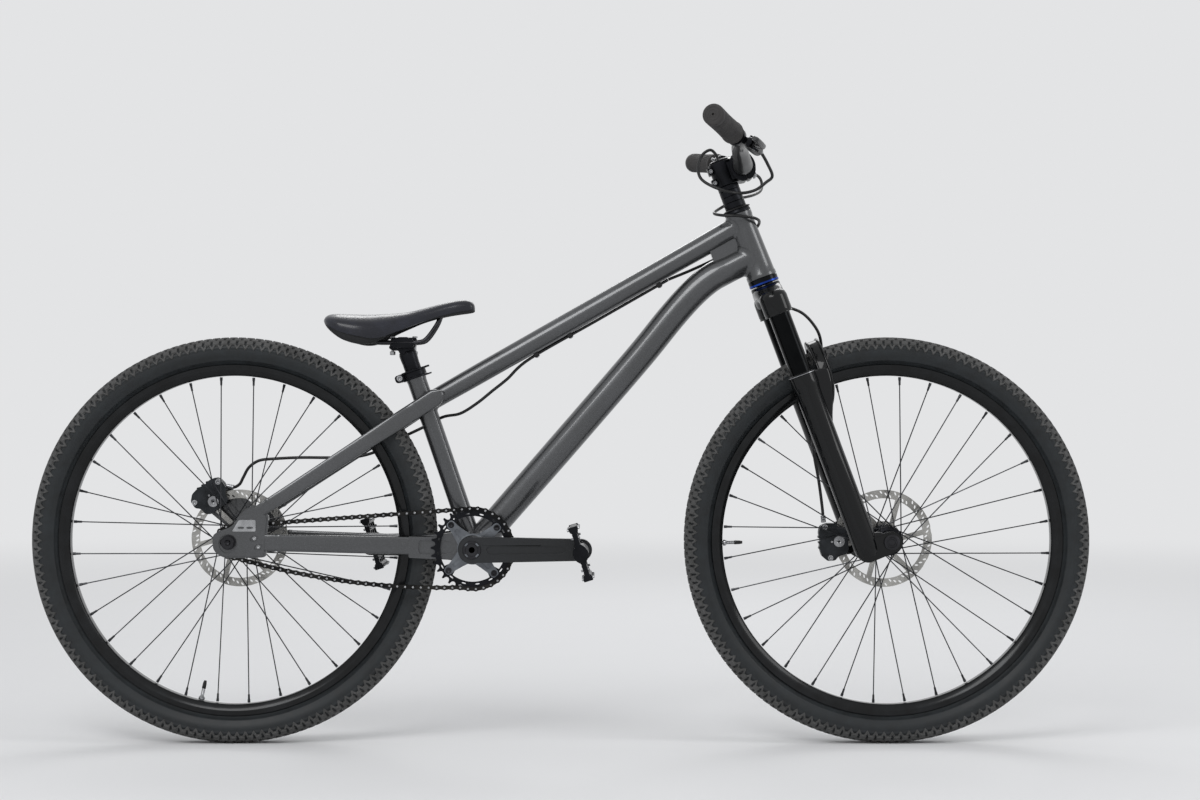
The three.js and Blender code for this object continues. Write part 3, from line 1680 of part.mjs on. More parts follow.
function beyond(front) {
  const reach = 3 * stem.reach;
  return box([front, -reach, barMiddle.z - reach], [front + reach, reach, barMiddle.z + reach]);
}

function stemBody() {
  const { clamp, body, barClamp } = stemBlank();
  const bore = postUpright(headset.steererRadius + fit.clearance, 0, steerer.top + fit.overrun);
  return cut(joined([clamp, body, barClamp]), [bore, barHole(), beyond(stem.reach)]);
}

function stemFaceplate() {
  const { barClamp } = stemBlank();
  return cut(overlap(barClamp, beyond(stem.reach + stem.facePlateGap)), [barHole()]);
}

function topCap() {
  const low = steerer.top + fit.clearance;
  const profile = sleeveProfile(stem.capHole, stem.capRadius, low, low + stem.capThickness);
  return turnedUpright(profile, roundSides.tube);
}

function spacers() {
  const low = headTube.length + headset.upperStack + fit.clearance;
  const inner = headset.steererRadius + fit.clearance;
  const high = steerer.top - stem.height - fit.clearance;
  return turnedUpright(sleeveProfile(inner, headset.spacerRadius, low, high), roundSides.tube);
}

// Brake hoses
const frontHoseUpperRoute = [
  [59, -152, 141],
  [50, -118, 137],
  [32, -72, 134],
  [8, -44, 141],
  [-20, -38, 160],
  [-38, -24, 184],
  [-35, -12, 206],
  [-21, -4, 222],
  [-6, -1, 225],
  [0, 0, 214],
  [0, 0, 203],
  [0, 0, 190],
  [0, 0, 150],
  [0, 0, 60],
  [0, 0, -32],
];

const frontHoseLowerRoute = [
  [0, 0, -33],
  [2, 0, -42],
  [10, 2, -50],
  [24, 6, -60],
  [42, 13, -76],
  [53, 20, -98],
  [57, 25, -122],
  [50, 31, -150],
  [34, 31.6, -176],
  [12, 33, -215],
  [-6, 37, -258],
  [-18, 42, -300],
  [-26, 47, -345],
  [-36, 46, -388],
  [-43, 42, -412],
];

const rearHoseLoopRoute = [
  [338, 152, 925],
  [334, 124, 910],
  [318, 84, 899],
  [292, 50, 890],
  [262, 22, 873],
  [250, -8, 862],
  [264, -30, 857],
  [290, -34, 856],
  [316, -22, 853],
  [324, 4, 847],
  [313, 24, 832],
  [290, 30, 812],
  [258, 28, 792],
];

// Under the top tube the third number is how far the hose lies below the tube's centre line
const rearHoseLoopUnderTube = [
  [214, 15, 27.7],
  [176, 5, 22.0],
];

const rearHoseUnderTube = [
  [175, 4.7, 22.0],
  [60, 4, 22.2],
  [-50, 4, 22.4],
  [-88, 7, 34.6],
  [-112, 10, 39.9],
  [-137, 14, 45.6],
  [-165, 21, 46.7],
];

// Behind the seat tube it is how far the hose lies below the line to the rear axle
const rearHoseUnderStay = [
  [-194, 26, 40],
  [-227, 29, 33.5],
  [-248, 31, 28.6],
  [-271, 34, 23.2],
  [-302, 35, 19.1],
  [-340, 36, 2],
  [-382, 40, -26.9],
  [-431, 46, -61.8],
  [-473, 50, -89.7],
  [-499, 52, -105.2],
  [-516, 53, -106.3],
  [-526, 54, -96.4],
];

function belowLine(start, end) {
  return ([x, y, drop]) => {
    const share = (x - start.x) / (end.x - start.x);
    return [x, y, start.z + share * (end.z - start.z) - drop];
  };
}

function cockpitPieces() {
  const pieces = [
    piece("fork_crown", forkCrown(), finishes.blackPaint()),
    piece("headset_spacers", spacers(), finishes.blackAlloy()),
    piece("stem", stemBody(), finishes.blackAlloy()),
    piece("stem_faceplate", stemFaceplate(), finishes.blackAlloy()),
    piece("stem_top_cap", topCap(), finishes.blackAlloy()),
    piece("handlebar", handlebar(), finishes.blackPaint()),
    piece("front_brake_hose_upper", hoseAlong(frontHoseUpperRoute, hose.bendStep), finishes.plastic()),
    piece("front_brake_hose_lower", hoseAlong(frontHoseLowerRoute, hose.bendStep), finishes.plastic()),
    piece("fork_lowers", forkLowers(), finishes.blackPaint()),
    piece("front_axle", frontAxleBody(), finishes.darkSteel()),
    piece("front_brake_caliper", frontCaliper(), finishes.blackAlloy()),
  ];
  for (const [name, side] of [["right", -1], ["left", 1]]) {
    pieces.push(
      piece(`grip_${name}`, gripBody(side), finishes.rubber()),
      piece(`brake_master_${name}`, brakeMaster(side), finishes.blackAlloy()),
      piece(`brake_lever_${name}`, brakeLever(side), finishes.blackPaint()),
    );
  }
  const steering = new THREE.Group();
  steering.position.copy(headBottom);
  steering.rotation.y = steerTilt;
  steering.add(...pieces);
  return steering;
}

function rearBrakePieces() {
  const stayJoint = onSeatTube(stayJointHeight);
  const belowTube = belowLine(stayJoint, onSteeringAxis(topTube.headHeight));
  const belowStay = belowLine(stayJoint, rearAxle);
  const loop = [...rearHoseLoopRoute, ...rearHoseLoopUnderTube.map(belowTube)];
  const rest = [...rearHoseUnderTube.map(belowTube), ...rearHoseUnderStay.map(belowStay)];
  return [
    piece("rear_brake_caliper", rearCaliper(), finishes.blackAlloy()),
    piece("rear_brake_hose_loop", hoseAlong(loop, hose.bendStep), finishes.plastic()),
    piece("rear_brake_hose", hoseAlong(rest, hose.step), finishes.plastic()),
  ];
}

const group = new THREE.Group();
group.add(
  ...framePieces(),
  ...seatPieces(),
  cockpitPieces(),
  ...rearBrakePieces(),
  ...drivePieces(),
  wheelPieces("front", frontHub, frontAxle, radians(wheel.frontValveDeg)),
  wheelPieces("rear", rearHub, rearAxle, radians(wheel.rearValveDeg)),
);

export default group;
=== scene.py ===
from math import atan2, cos, pi, radians, sin

import bmesh
import bpy
import numpy as np
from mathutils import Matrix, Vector
from mathutils.geometry import tessellate_polygon


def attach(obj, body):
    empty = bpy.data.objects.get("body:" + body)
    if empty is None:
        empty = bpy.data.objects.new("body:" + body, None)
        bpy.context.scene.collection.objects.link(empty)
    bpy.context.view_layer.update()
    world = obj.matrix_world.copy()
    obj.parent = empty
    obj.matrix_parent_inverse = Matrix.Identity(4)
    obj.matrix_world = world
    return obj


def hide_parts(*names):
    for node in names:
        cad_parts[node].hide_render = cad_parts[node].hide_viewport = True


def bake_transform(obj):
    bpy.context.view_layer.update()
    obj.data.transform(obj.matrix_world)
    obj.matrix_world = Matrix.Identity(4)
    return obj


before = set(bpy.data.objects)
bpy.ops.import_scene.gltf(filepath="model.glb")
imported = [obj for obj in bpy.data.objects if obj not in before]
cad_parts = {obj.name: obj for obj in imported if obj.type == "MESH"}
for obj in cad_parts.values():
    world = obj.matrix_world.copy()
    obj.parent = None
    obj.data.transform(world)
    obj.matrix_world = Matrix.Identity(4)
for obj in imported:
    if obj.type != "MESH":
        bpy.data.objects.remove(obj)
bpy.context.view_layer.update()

# The studio. The bicycle stands on a pale floor that runs out into a pale surround, under a
# soft box on the drive side, a smaller one ahead and a wide one behind. The camera is level
# with the lower top tube, four metres from the bicycle's middle plane.
MM = 0.001
surround_tone = (0.77, 0.775, 0.785, 1)
floor_tone = (0.8, 0.805, 0.815, 1)
floor_size = 60
floor_fades_from, floor_fades_to = 1.4, 6.5
surround_light, surround_seen = 0.72, 1.0
camera_place, camera_lens, camera_film, camera_reach = (0.064, -4.0, 0.558), 73.53, 36, 100

camera = bpy.data.objects.new("camera", bpy.data.cameras.new("camera"))
camera.data.sensor_width = camera_film
camera.data.lens = camera_lens
camera.data.clip_end = camera_reach
camera.location = camera_place
camera.rotation_euler = (pi / 2, 0, 0)
bpy.context.scene.collection.objects.link(camera)
bpy.context.scene.camera = camera
bpy.context.scene.view_settings.view_transform = "Standard"


class Wire:
    """The output of a node, with plain sums for Math nodes."""

    def __init__(self, bench, socket):
        self.bench = bench
        self.socket = socket

    def math(self, operation, *values):
        return self.bench.node("ShaderNodeMath", {"operation": operation}, dict(enumerate(values)))

    def __add__(self, other):
        return self.math("ADD", self, other)

    def __sub__(self, other):
        return self.math("SUBTRACT", self, other)

    def __rsub__(self, other):
        return self.math("SUBTRACT", other, self)

    def __mul__(self, other):
        return self.math("MULTIPLY", self, other)

    def __truediv__(self, other):
        return self.math("DIVIDE", self, other)

    __radd__ = __add__
    __rmul__ = __mul__


class Bench:
    """A node tree, and the one way in which nodes are added to it."""

    def __init__(self, tree):
        self.tree = tree

    def feed(self, socket, value):
        if isinstance(value, Wire):
            self.tree.links.new(value.socket, socket)
        else:
            socket.default_value = value

    def node(self, kind, settings=None, sockets=None, output=0):
        made = self.tree.nodes.new(kind)
        for name, value in (settings or {}).items():
            setattr(made, name, value)
        for key, value in (sockets or {}).items():
            self.feed(made.inputs[key], value)
        return Wire(self, made.outputs[output]) if made.outputs else made


def tone(code):
    """A colour written as it looks, as the shader's own numbers."""
    parts = [int(code[i : i + 2], 16) / 255 for i in (1, 3, 5)]
    return (*[p / 12.92 if p <= 0.04045 else ((p + 0.055) / 1.055) ** 2.4 for p in parts], 1)


class Finish(Bench):
    """A paint, metal, rubber or plastic: a shader and the nodes that feed it."""

    def __init__(self, name, owner=None, **shader):
        self.material = owner or bpy.data.materials.new(name)
        self.material.use_nodes = True
        super().__init__(self.material.node_tree)
        self.shader = self.tree.nodes.get("Principled BSDF")
        self.wear(**shader)

    def wear(self, **shader):
        for name, value in shader.items():
            self.feed(self.shader.inputs[name.replace("_", " ")], value)
        return self

    def place(self):
        return self.node("ShaderNodeTexCoord", output="Object")

    def parts_of(self, vector):
        split = self.node("ShaderNodeSeparateXYZ", {}, {0: vector})
        return [Wire(self, socket) for socket in split.socket.node.outputs]

    def stretched(self, vector, scale):
        return self.node("ShaderNodeMapping", {}, {"Vector": vector, "Scale": scale})

    def noise(self, per_metre, detail=3, roughness=0.5, vector=None):
        sockets = {"Vector": vector or self.place(), "Scale": per_metre, "Detail": detail}
        return self.node("ShaderNodeTexNoise", {}, {**sockets, "Roughness": roughness})

    def spread(self, value, low, high, to_low=0.0, to_high=1.0):
        return self.node("ShaderNodeMapRange", {}, {0: value, 1: low, 2: high, 3: to_low, 4: to_high})

    def mixed(self, share, first, second):
        sockets = {0: share, 6: first, 7: second}
        return self.node("ShaderNodeMix", {"data_type": "RGBA"}, sockets, output=2)

    def toned(self, share, colours):
        return self.wear(Base_Color=self.mixed(share, tone(colours[0]), tone(colours[1])))

    def raised(self, height, distance, strength):
        sockets = {"Height": height, "Distance": distance, "Strength": strength}
        return self.node("ShaderNodeBump", {}, sockets)


world = bpy.data.worlds.new("surround")
bpy.context.scene.world = world
surround = Finish("surround", owner=world)
seen = 0
for kind in ("Camera", "Glossy", "Transmission"):
    ray = surround.node("ShaderNodeLightPath", output=f"Is {kind} Ray")
    seen = ray.math("MAXIMUM", seen, ray)
backdrop = world.node_tree.nodes["Background"]
surround.feed(backdrop.inputs["Color"], surround_tone)
surround.feed(backdrop.inputs["Strength"], surround.spread(seen, 0, 1, surround_light, surround_seen))

floor_mesh = bpy.data.meshes.new("floor")
corners = [(x * floor_size / 2, y * floor_size / 2, 0) for x, y in [(-1, -1), (1, -1), (1, 1), (-1, 1)]]
floor_mesh.from_pydata(corners, [], [(0, 1, 2, 3)])
floor = bpy.data.objects.new("floor", floor_mesh)
bpy.context.scene.collection.objects.link(floor)
paper = Finish("floor_paper", Roughness=0.9)
paper.wear(Base_Color=paper.mixed(paper.noise(3, 2), floor_tone, tuple(0.985 * v for v in floor_tone)))
distance = paper.node("ShaderNodeVectorMath", {"operation": "LENGTH"}, {0: paper.place()}, output="Value")
glow = paper.node("ShaderNodeEmission", {}, {"Color": surround_tone, "Strength": surround_seen})
fade = {0: distance, 1: floor_fades_from, 2: floor_fades_to}
fade = paper.node("ShaderNodeMapRange", {"interpolation_type": "SMOOTHSTEP"}, fade)
both = paper.node("ShaderNodeMixShader", {}, {0: fade})
paper.tree.links.new(paper.shader.outputs[0], both.socket.node.inputs[1])
paper.tree.links.new(glow.socket, both.socket.node.inputs[2])
paper.tree.links.new(both.socket, paper.tree.nodes["Material Output"].inputs["Surface"])
floor_mesh.materials.append(paper.material)


def soft_box(name, place, aim, size, power):
    lamp = bpy.data.objects.new(name, bpy.data.lights.new(name, "AREA"))
    lamp.data.shape = "RECTANGLE"
    lamp.data.size, lamp.data.size_y = size
    lamp.data.energy = power
    lamp.location = place
    lamp.rotation_euler = (Vector(aim) - Vector(place)).to_track_quat("-Z", "Y").to_euler()
    bpy.context.scene.collection.objects.link(lamp)


soft_box("soft_box_front", (-1.4, -3.0, 3.2), (0, 0, 0.5), (2.4, 1.6), 62)
soft_box("soft_box_ahead", (3.2, -1.0, 2.2), (0, 0, 0.5), (1.2, 1.8), 24)
soft_box("soft_box_behind", (0.4, 3.4, 2.8), (0, 0, 0.5), (2.6, 1.4), 34)


# The head tube. A forged and reamed aluminium sleeve, wider at the fork than at the stem,
# with a turned lip at each end. The other tubes are mitred and welded to it, and the whole
# frame is painted in a graphite metallic under a glossy clear coat.
class Form:
    """Points in millimetres and the faces between them."""

    def __init__(self, points=(), faces=()):
        self.points = np.array(points, float).reshape(-1, 3)
        self.faces = [tuple(face) for face in faces]

    def __add__(self, other):
        shift = len(self.points)
        moved = [tuple(i + shift for i in face) for face in other.faces]
        return Form(np.vstack([self.points, other.points]), self.faces + moved)

    def moved(self, x=0, y=0, z=0):
        return Form(self.points + np.array([x, y, z]), self.faces)

    def based(self, origin, ahead, left, above):
        """Stood in a frame of its own: ahead, left and above are where X, Y and Z go."""
        return Form(np.array(origin) + self.points @ np.array([ahead, left, above]), self.faces)

    def turned(self, degrees, axis="y"):
        c, s = cos(radians(degrees)), sin(radians(degrees))
        x, y, z = self.points.T
        if axis == "y":
            x, z = x * c - z * s, x * s + z * c
        elif axis == "x":
            y, z = y * c - z * s, y * s + z * c
        else:
            x, y = x * c - y * s, x * s + y * c
        return Form(np.stack([x, y, z], 1), self.faces)

    def mirrored(self):
        return Form(self.points * np.array([1, -1, 1]), [face[::-1] for face in self.faces])


def unit(vector):
    vector = np.array(vector, float)
    return vector / np.linalg.norm(vector)


def loft(rings, loop=False, caps=True):
    """A skin over rings of points, closed by a face at each end or joined up with itself."""
    rings = np.array(rings, float)
    stations, count = rings.shape[:2]
    faces = []
    for i in range(stations if loop else stations - 1):
        here, there = i * count, (i + 1) % stations * count
        for j in range(count):
            k = (j + 1) % count
            faces.append((here + j, here + k, there + k, there + j))
    if caps and not loop:
        faces.append(tuple(range(count))[::-1])
        faces.append(tuple(range((stations - 1) * count, stations * count)))
    return Form(rings.reshape(-1, 3), faces)


def lathe(profile, sides=64, axis="y", ring=False):
    """A profile of radius and height turned about an axis. A ring's profile is closed."""
    profile = np.array(list(profile) + ([profile[0]] if ring else []), float)
    turn = np.linspace(0, 2 * pi, sides, endpoint=False)
    radius, along = profile[:, 0][None, :], profile[:, 1][None, :]
    flat = [radius * np.cos(turn)[:, None], radius * np.sin(turn)[:, None]]
    level = np.repeat(along, sides, 0)
    order = {"y": [flat[0], level, flat[1]], "z": [*flat, level], "x": [level, *flat]}[axis]
    return loft(np.stack(order, 2), loop=True)


def eased(stations, steps=6):
    """A smooth line through stations, with whatever sizes each station carries."""
    stations = np.array(stations, float)
    first = 2 * stations[0] - stations[1]
    last = 2 * stations[-1] - stations[-2]
    stations = np.vstack([first, stations, last])
    line = []
    for a, b, c, d in zip(stations, stations[1:], stations[2:], stations[3:]):
        for t in np.arange(steps) / steps:
            bend = (2 * a - 5 * b + 4 * c - d) * t**2 + (3 * b - a - 3 * c + d) * t**3
            line.append(0.5 * (2 * b + (c - a) * t + bend))
    return np.array([*line, stations[-2]])


def rounded_section(halves, power=2, sides=32):
    """A closed outline from a circle or ellipse, at power 2, towards a box, at high powers."""
    turn = np.linspace(0, 2 * pi, sides, endpoint=False)
    c, s = np.cos(turn), np.sin(turn)
    return np.stack([half * np.sign(v) * np.abs(v) ** (2 / power) for half, v in zip(halves, (c, s))], 1)


def round_sections(radii, sides=32, power=2, squash=1):
    return [rounded_section((r, r * squash), power, sides) for r in radii]


def rings_along(route, sections, reference=None):
    """Sections carried along a route. With no reference they don't twist on the way."""
    route = np.array(route, float)
    tangents = np.gradient(route, axis=0)
    tangents /= np.linalg.norm(tangents, axis=1)[:, None]
    side = np.array(reference if reference is not None else (0.31, 0.9, 0.3), float)
    rings = []
    for i, (point, tangent) in enumerate(zip(route, tangents)):
        base = reference if reference is not None else side
        side = unit(np.array(base) - tangent * np.dot(base, tangent))
        other = np.cross(tangent, side)
        section = sections[i] if len(sections) == len(route) else sections[0]
        rings.append([point + a * side + b * other for a, b in section])
    return np.array(rings)


def swept(route, sections, reference=None):
    return loft(rings_along(route, sections, reference))


def swept_stations(line, power, sides, reference):
    """A bar from stations of place, half width and half height."""
    sections = [rounded_section((a, b), power, sides) for a, b in line[:, 3:5]]
    return swept(line[:, :3], sections, reference)


def both_halves(stations, meet=True):
    """Stations in to the middle and out on the other side. The last is shared where they meet."""
    return [*stations, *[(first, -y, *rest) for first, y, *rest in stations[-2 if meet else -1 :: -1]]]


def laid_out(name, form, edges=()):
    mesh = bpy.data.meshes.new(name)
    mesh.from_pydata((form.points * MM).tolist(), list(edges), form.faces)
    made = bpy.data.objects.new(name, mesh)
    bpy.context.scene.collection.objects.link(made)
    return made


def piece(name, form, finish, body, stands_for=None, slot=None, crease=35, bevel=0, steps=2):
    """A finished object from a form, on its body, or left unparented where it stands when given two bodies,
    for its CAD node.
    """
    made = laid_out(name, form)
    mesh = made.data
    mesh.validate()
    tidy_mesh(mesh)
    mesh.shade_smooth()
    mesh.set_sharp_from_angle(angle=radians(crease))
    mesh.materials.append(finish.material)
    if bevel:
        edge = made.modifiers.new("edges", "BEVEL")
        edge.width = bevel * MM
        edge.segments = steps
        edge.limit_method = "ANGLE"
        edge.angle_limit = radians(crease)
        edge.harden_normals = True
    if isinstance(body, str):
        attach(made, body)
    else:
        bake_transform(made)
    if stands_for:
        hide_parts(stands_for)
    return made


def tidy_mesh(mesh):
    """Doubles merged, then faces turned outwards."""
    work = bmesh.new()
    work.from_mesh(mesh)
    bmesh.ops.remove_doubles(work, verts=work.verts, dist=0.005 * MM)
    bmesh.ops.dissolve_degenerate(work, edges=work.edges, dist=0.001 * MM)
    bmesh.ops.recalc_face_normals(work, faces=work.faces)
    work.to_mesh(mesh)
    work.free()


def flaked_paint(name, tones, metallic, roughness, coat, flake=1600, under=0.5):
    """Fine metal flakes in a coloured base, thin and thick places, and a faint orange peel."""
    made = Finish(name, Metallic=metallic, Coat_Weight=coat, Coat_Roughness=0.05)
    made.wear(Specular_IOR_Level=under)
    cells = {"Vector": made.place(), "Scale": flake}
    flakes = made.parts_of(made.node("ShaderNodeTexVoronoi", {}, cells, output="Color"))[0]
    clouds = made.spread(made.noise(5, 4), 0.35, 0.68)
    base = made.mixed(clouds, tone(tones[0]), tone(tones[1]))
    sparkle = made.mixed(made.spread(flakes, 0.6, 1.0, 0, 0.25), base, tone(tones[2]))
    smudges = made.spread(made.noise(26, 5, 0.65), 0.4, 0.75)
    made.wear(Base_Color=sparkle, Roughness=roughness + smudges * 0.1)
    return made.wear(Normal=made.raised(made.noise(260, 2), 0.012 * MM, 0.2))


frame_paint = flaked_paint("graphite_metallic_paint", ("#434445", "#4d4e50", "#777a7e"), 0.75, 0.3, 0.7)


def painted(name, form, stands_for=None, **more):
    return piece(name, form, frame_paint, "frame", stands_for, "frame_paint", **more)


steering_foot = np.array([328.5854, 0, 757.1643])
steering_up = np.array([-0.350207, 0, 0.936672])
steering_ahead = np.array([0.936672, 0, 0.350207])
leftward = np.array([0, 1.0, 0])
head_tube_profile = [
    (16, 0), (24.2, 0), (24.9, 0.8), (24.9, 6.6), (24.0, 8), (23.3, 30), (22.5, 60), (21.6, 92),
    (21.5, 103), (22.1, 105), (22.1, 111.2), (21.4, 112), (16, 112),
]


def on_fork(form):
    """Stood in the steering axis's own directions, from the foot of the head tube."""
    return form.based(steering_foot, steering_ahead, leftward, steering_up)


def on_steering_axis(height):
    return steering_foot + steering_up * height


painted("head_tube_sleeve", on_fork(lathe(head_tube_profile, 96, "z", ring=True)), "head_tube")


# The bottom bracket shell and its yoke. The shell is a turned sleeve with a faced end on
# each side. Behind it a forged block forks round the tyre, with a rib over and under, and
# the chain stays are welded to its two plates.
bottom_bracket = np.array([-141.1847, 0, 318.0])
seat_up = np.array([-0.325568, 0, 0.945519])
seat_ahead = np.array([0.945519, 0, 0.325568])
shell_radius = 23.5
shell_half = [(18.2, -36.5), (22.6, -36.5), (23.5, -35.6), (23.5, -31), (22.9, -30)]
yoke_end, yoke_slot = -245.2, -190.0
yoke_low, yoke_high = 300.0, 341.0
plate_inner, plate_outer = 34.0, 42.0


def arc(radius, start, end, steps=8, centre=(0, 0)):
    turn = np.radians(np.linspace(start, end, steps + 1))
    return [(centre[0] + radius * cos(t), centre[1] + radius * sin(t)) for t in turn]


def eased_corners(outline, radius, steps=4):
    """An outline with its corners rounded, each by the radius or by its own."""
    made = []
    count = len(outline)
    for i, corner in enumerate(outline):
        own = corner[2] if len(corner) > 2 else radius
        corner = np.array(corner[:2], float)
        before = np.array(outline[i - 1][:2], float) - corner
        after = np.array(outline[(i + 1) % count][:2], float) - corner
        reach = min(own, np.linalg.norm(before) * 0.48, np.linalg.norm(after) * 0.48)
        start, end = corner + unit(before) * reach, corner + unit(after) * reach
        for t in np.linspace(0, 1, steps + 1):
            made.append(tuple((1 - t) ** 2 * start + 2 * t * (1 - t) * corner + t**2 * end))
    return made


def slab(outline, low, high, holes=()):
    """A plate with its outline in X and Z, from one Y to another."""
    loops = [list(outline), *[list(hole) for hole in holes]]
    flat = [Vector((x, z, 0)) for loop in loops for x, z in loop]
    count = len(flat)
    points = [(x, y, z) for y in (low, high) for x, z, _ in flat]
    if holes:
        cap = tessellate_polygon([[Vector((x, z, 0)) for x, z in loop] for loop in loops])
    else:
        cap = [tuple(range(count))]
    faces = [tuple(face) for face in cap]
    faces += [tuple(i + count for i in reversed(face)) for face in cap]
    start = 0
    for loop in loops:
        for i in range(len(loop)):
            a, b = start + i, start + (i + 1) % len(loop)
            faces.append((a, b, b + count, a + count))
        start += len(loop)
    return Form(points, faces)


def plates(outline, inner, outer, holes=()):
    """A plate on each side of the middle, between two distances from it."""
    return slab(outline, -outer, -inner, holes) + slab(outline, inner, outer, holes)


def yoke_forging():
    middle = (yoke_low + yoke_high) / 2
    cheek = eased_corners(
        [
            (yoke_end, yoke_low + 3), (yoke_slot + 8, yoke_low, 3), (-162, yoke_low - 3, 9),
            (-140, middle - 16, 4), (-140, middle + 14, 4), (-168, yoke_high + 4, 12),
            (-198, yoke_high, 10), (yoke_end, yoke_high - 3),
        ],
        3,
    )
    recess = eased_corners(
        [
            (yoke_end + 16, middle - 11), (yoke_slot - 6, middle - 12), (-172, middle - 9),
            (-172, middle + 8), (yoke_slot - 4, middle + 12), (yoke_end + 16, middle + 11),
        ],
        6,
    )
    cheeks = plates(cheek, plate_inner + 2, plate_outer, [recess])
    cheeks += plates(cheek, plate_inner, plate_inner + 3.5)
    bridge = eased_corners(
        [
            (yoke_slot, yoke_low + 2), (-148, yoke_low), (-140, middle), (-150, yoke_high + 1),
            (yoke_slot, yoke_high - 2),
        ],
        5,
    )
    return cheeks + slab(bridge, -plate_inner - 1, plate_inner + 1)


shell = lathe(both_halves(shell_half, False), 72, ring=True)
painted("bottom_bracket_sleeve", shell.moved(*bottom_bracket))
painted("chainstay_yoke", yoke_forging(), "bottom_bracket_shell", bevel=1.2, steps=3)


# The top tube, down tube and seat tube. Drawn aluminium tubes, the down tube bent near the
# head and braced there by a flat gusset. Each is mitred to what it meets and welded all
# round, and the welds are ground to a smooth fillet under the paint.
seat_joint, seat_tube_top = 246.0, 304.0
seat_tube_radius, seat_tube_bore = 15.9, 14.2
top_tube_head, down_tube_head = 94.0, 34.0
down_tube_bend = [
    (0.115, 0.006), (0.42, 0.023), (0.63, 0.036), (0.75, 0.047), (0.83, 0.05), (0.89, 0.044),
    (0.935, 0.029),
]


def on_seat_tube(height):
    return bottom_bracket + seat_up * height


def on_seat(form):
    """Stood in the seat tube's own directions, from the bottom bracket."""
    return form.based(bottom_bracket, seat_ahead, leftward, seat_up)


class Sleeve:
    """The outside of a round piece that tubes are welded to, as an ellipse about its axis."""

    def __init__(self, origin, first, second, half_first, half_second=None):
        self.origin, self.first, self.second = (np.array(v, float) for v in (origin, first, second))
        self.halves = (half_first, half_second or half_first)

    def shrunk(self, by, second_by):
        a, b = self.halves
        return Sleeve(self.origin, self.first, self.second, a - by, b - second_by)

    def across(self, points):
        out = points - self.origin
        return out @ self.first / self.halves[0], out @ self.second / self.halves[1]

    def normals(self, points):
        a, b = self.across(points)
        slope = np.outer(a / self.halves[0], self.first) + np.outer(b / self.halves[1], self.second)
        return slope / np.linalg.norm(slope, axis=1)[:, None]


def carried(points, direction, sleeve):
    """Points carried along a direction to where they enter the sleeve, or pass nearest to it."""
    a, b = sleeve.across(points)
    across, over = sleeve.across(sleeve.origin + np.array(direction))
    speed, closing = across**2 + over**2, a * across + b * over
    depth = np.maximum(closing**2 - speed * (a**2 + b**2 - 1), 0)
    return points + np.outer((-closing - np.sqrt(depth)) / speed, direction)


def fillet(rim, direction, sleeve, width):
    """The weld round a tube's rim where it meets the sleeve, concave and closed underneath."""
    meets = carried(rim, direction, sleeve)
    out = rim - rim.mean(0)
    normals = sleeve.normals(meets)
    spread = out - normals * np.sum(out * normals, 1)[:, None]
    spread /= np.linalg.norm(spread, axis=1)[:, None]
    back = -np.array(direction)
    sections = []
    for meet, side in zip(meets, spread):
        start, end = meet + width * back, meet + width * side
        curve = [
            (1 - t) ** 2 * start + 2 * t * (1 - t) * meet + t**2 * end for t in np.linspace(0, 1, 7)
        ]
        sections.append([*curve, meet - 0.35 * width * (back + side)])
    return loft(sections, loop=True)


def mitred_tube(route, radii, first, last, weld_width=5):
    """A round tube that runs into a sleeve at each end, and the welds round it."""
    rings, welds, hidden = rings_along(route, round_sections(radii, 72), leftward), Form(), []
    for end, before, sleeve in ((0, 1, first), (-1, -2, last)):
        direction = unit(route[end] - route[before])
        welds += fillet(rings[end], direction, sleeve, weld_width)
        hidden.append(carried(rings[end], direction, sleeve.shrunk(4, 0.5)))
    return loft([hidden[0], *rings, hidden[1]]), welds


def straight(start, end, radii):
    shares = np.linspace(0, 1, 13)[:, None]
    route = np.array(start) * (1 - shares) + np.array(end) * shares
    stations, sizes = zip(*radii)
    return route, np.interp(shares[:, 0], stations, sizes)


head_sleeve_top = Sleeve(steering_foot, steering_ahead, leftward, 21.6)
head_sleeve_low = Sleeve(steering_foot, steering_ahead, leftward, 23.4)
shell_sleeve = Sleeve(bottom_bracket, (1, 0, 0), (0, 0, 1), shell_radius)
seat_sleeve = Sleeve(bottom_bracket, seat_ahead, leftward, seat_tube_radius, 16.6)

top_start, top_end = on_seat_tube(seat_joint), on_steering_axis(top_tube_head)
along_top = unit(top_end - top_start)
route, radii = straight(
    top_start + 30 * along_top,
    top_end - 42 * along_top,
    [(0, 15.7), (0.12, 16.5), (0.8, 16.5), (0.9, 16.9), (1, 17.6)],
)
top_tube, top_welds = mitred_tube(route, radii, seat_sleeve, head_sleeve_top)
painted("top_tube_drawn", top_tube, "top_tube")

down_end = on_steering_axis(down_tube_head)
chord = down_end - bottom_bracket
across_chord = np.cross(chord, leftward)
bends = [bottom_bracket + chord * along + across_chord * rise for along, rise in down_tube_bend]
route = eased(bends, 8)
radii = np.interp(np.linspace(0, 1, len(route)), [0, 0.1, 0.9, 1], [23, 23.5, 23.5, 22.6])
down_tube, down_welds = mitred_tube(route, radii, shell_sleeve, head_sleeve_low, 6)
painted("down_tube_drawn", down_tube, "down_tube")

seat_tube_profile = [
    (seat_tube_bore, 10), (seat_tube_radius, 10), (seat_tube_radius, 286), (16.5, 289),
    (16.5, 303), (15.9, seat_tube_top), (seat_tube_bore, seat_tube_top),
]
painted("seat_tube_drawn", on_seat(lathe(seat_tube_profile, 64, "z", ring=True)), "seat_tube")
seat_rim = rounded_section((seat_tube_radius, seat_tube_radius), 2, 72)
seat_rim = np.array([on_seat_tube(60) + a * leftward + b * seat_ahead for a, b in seat_rim])
seat_weld = fillet(seat_rim, -seat_up, shell_sleeve, 4.5)

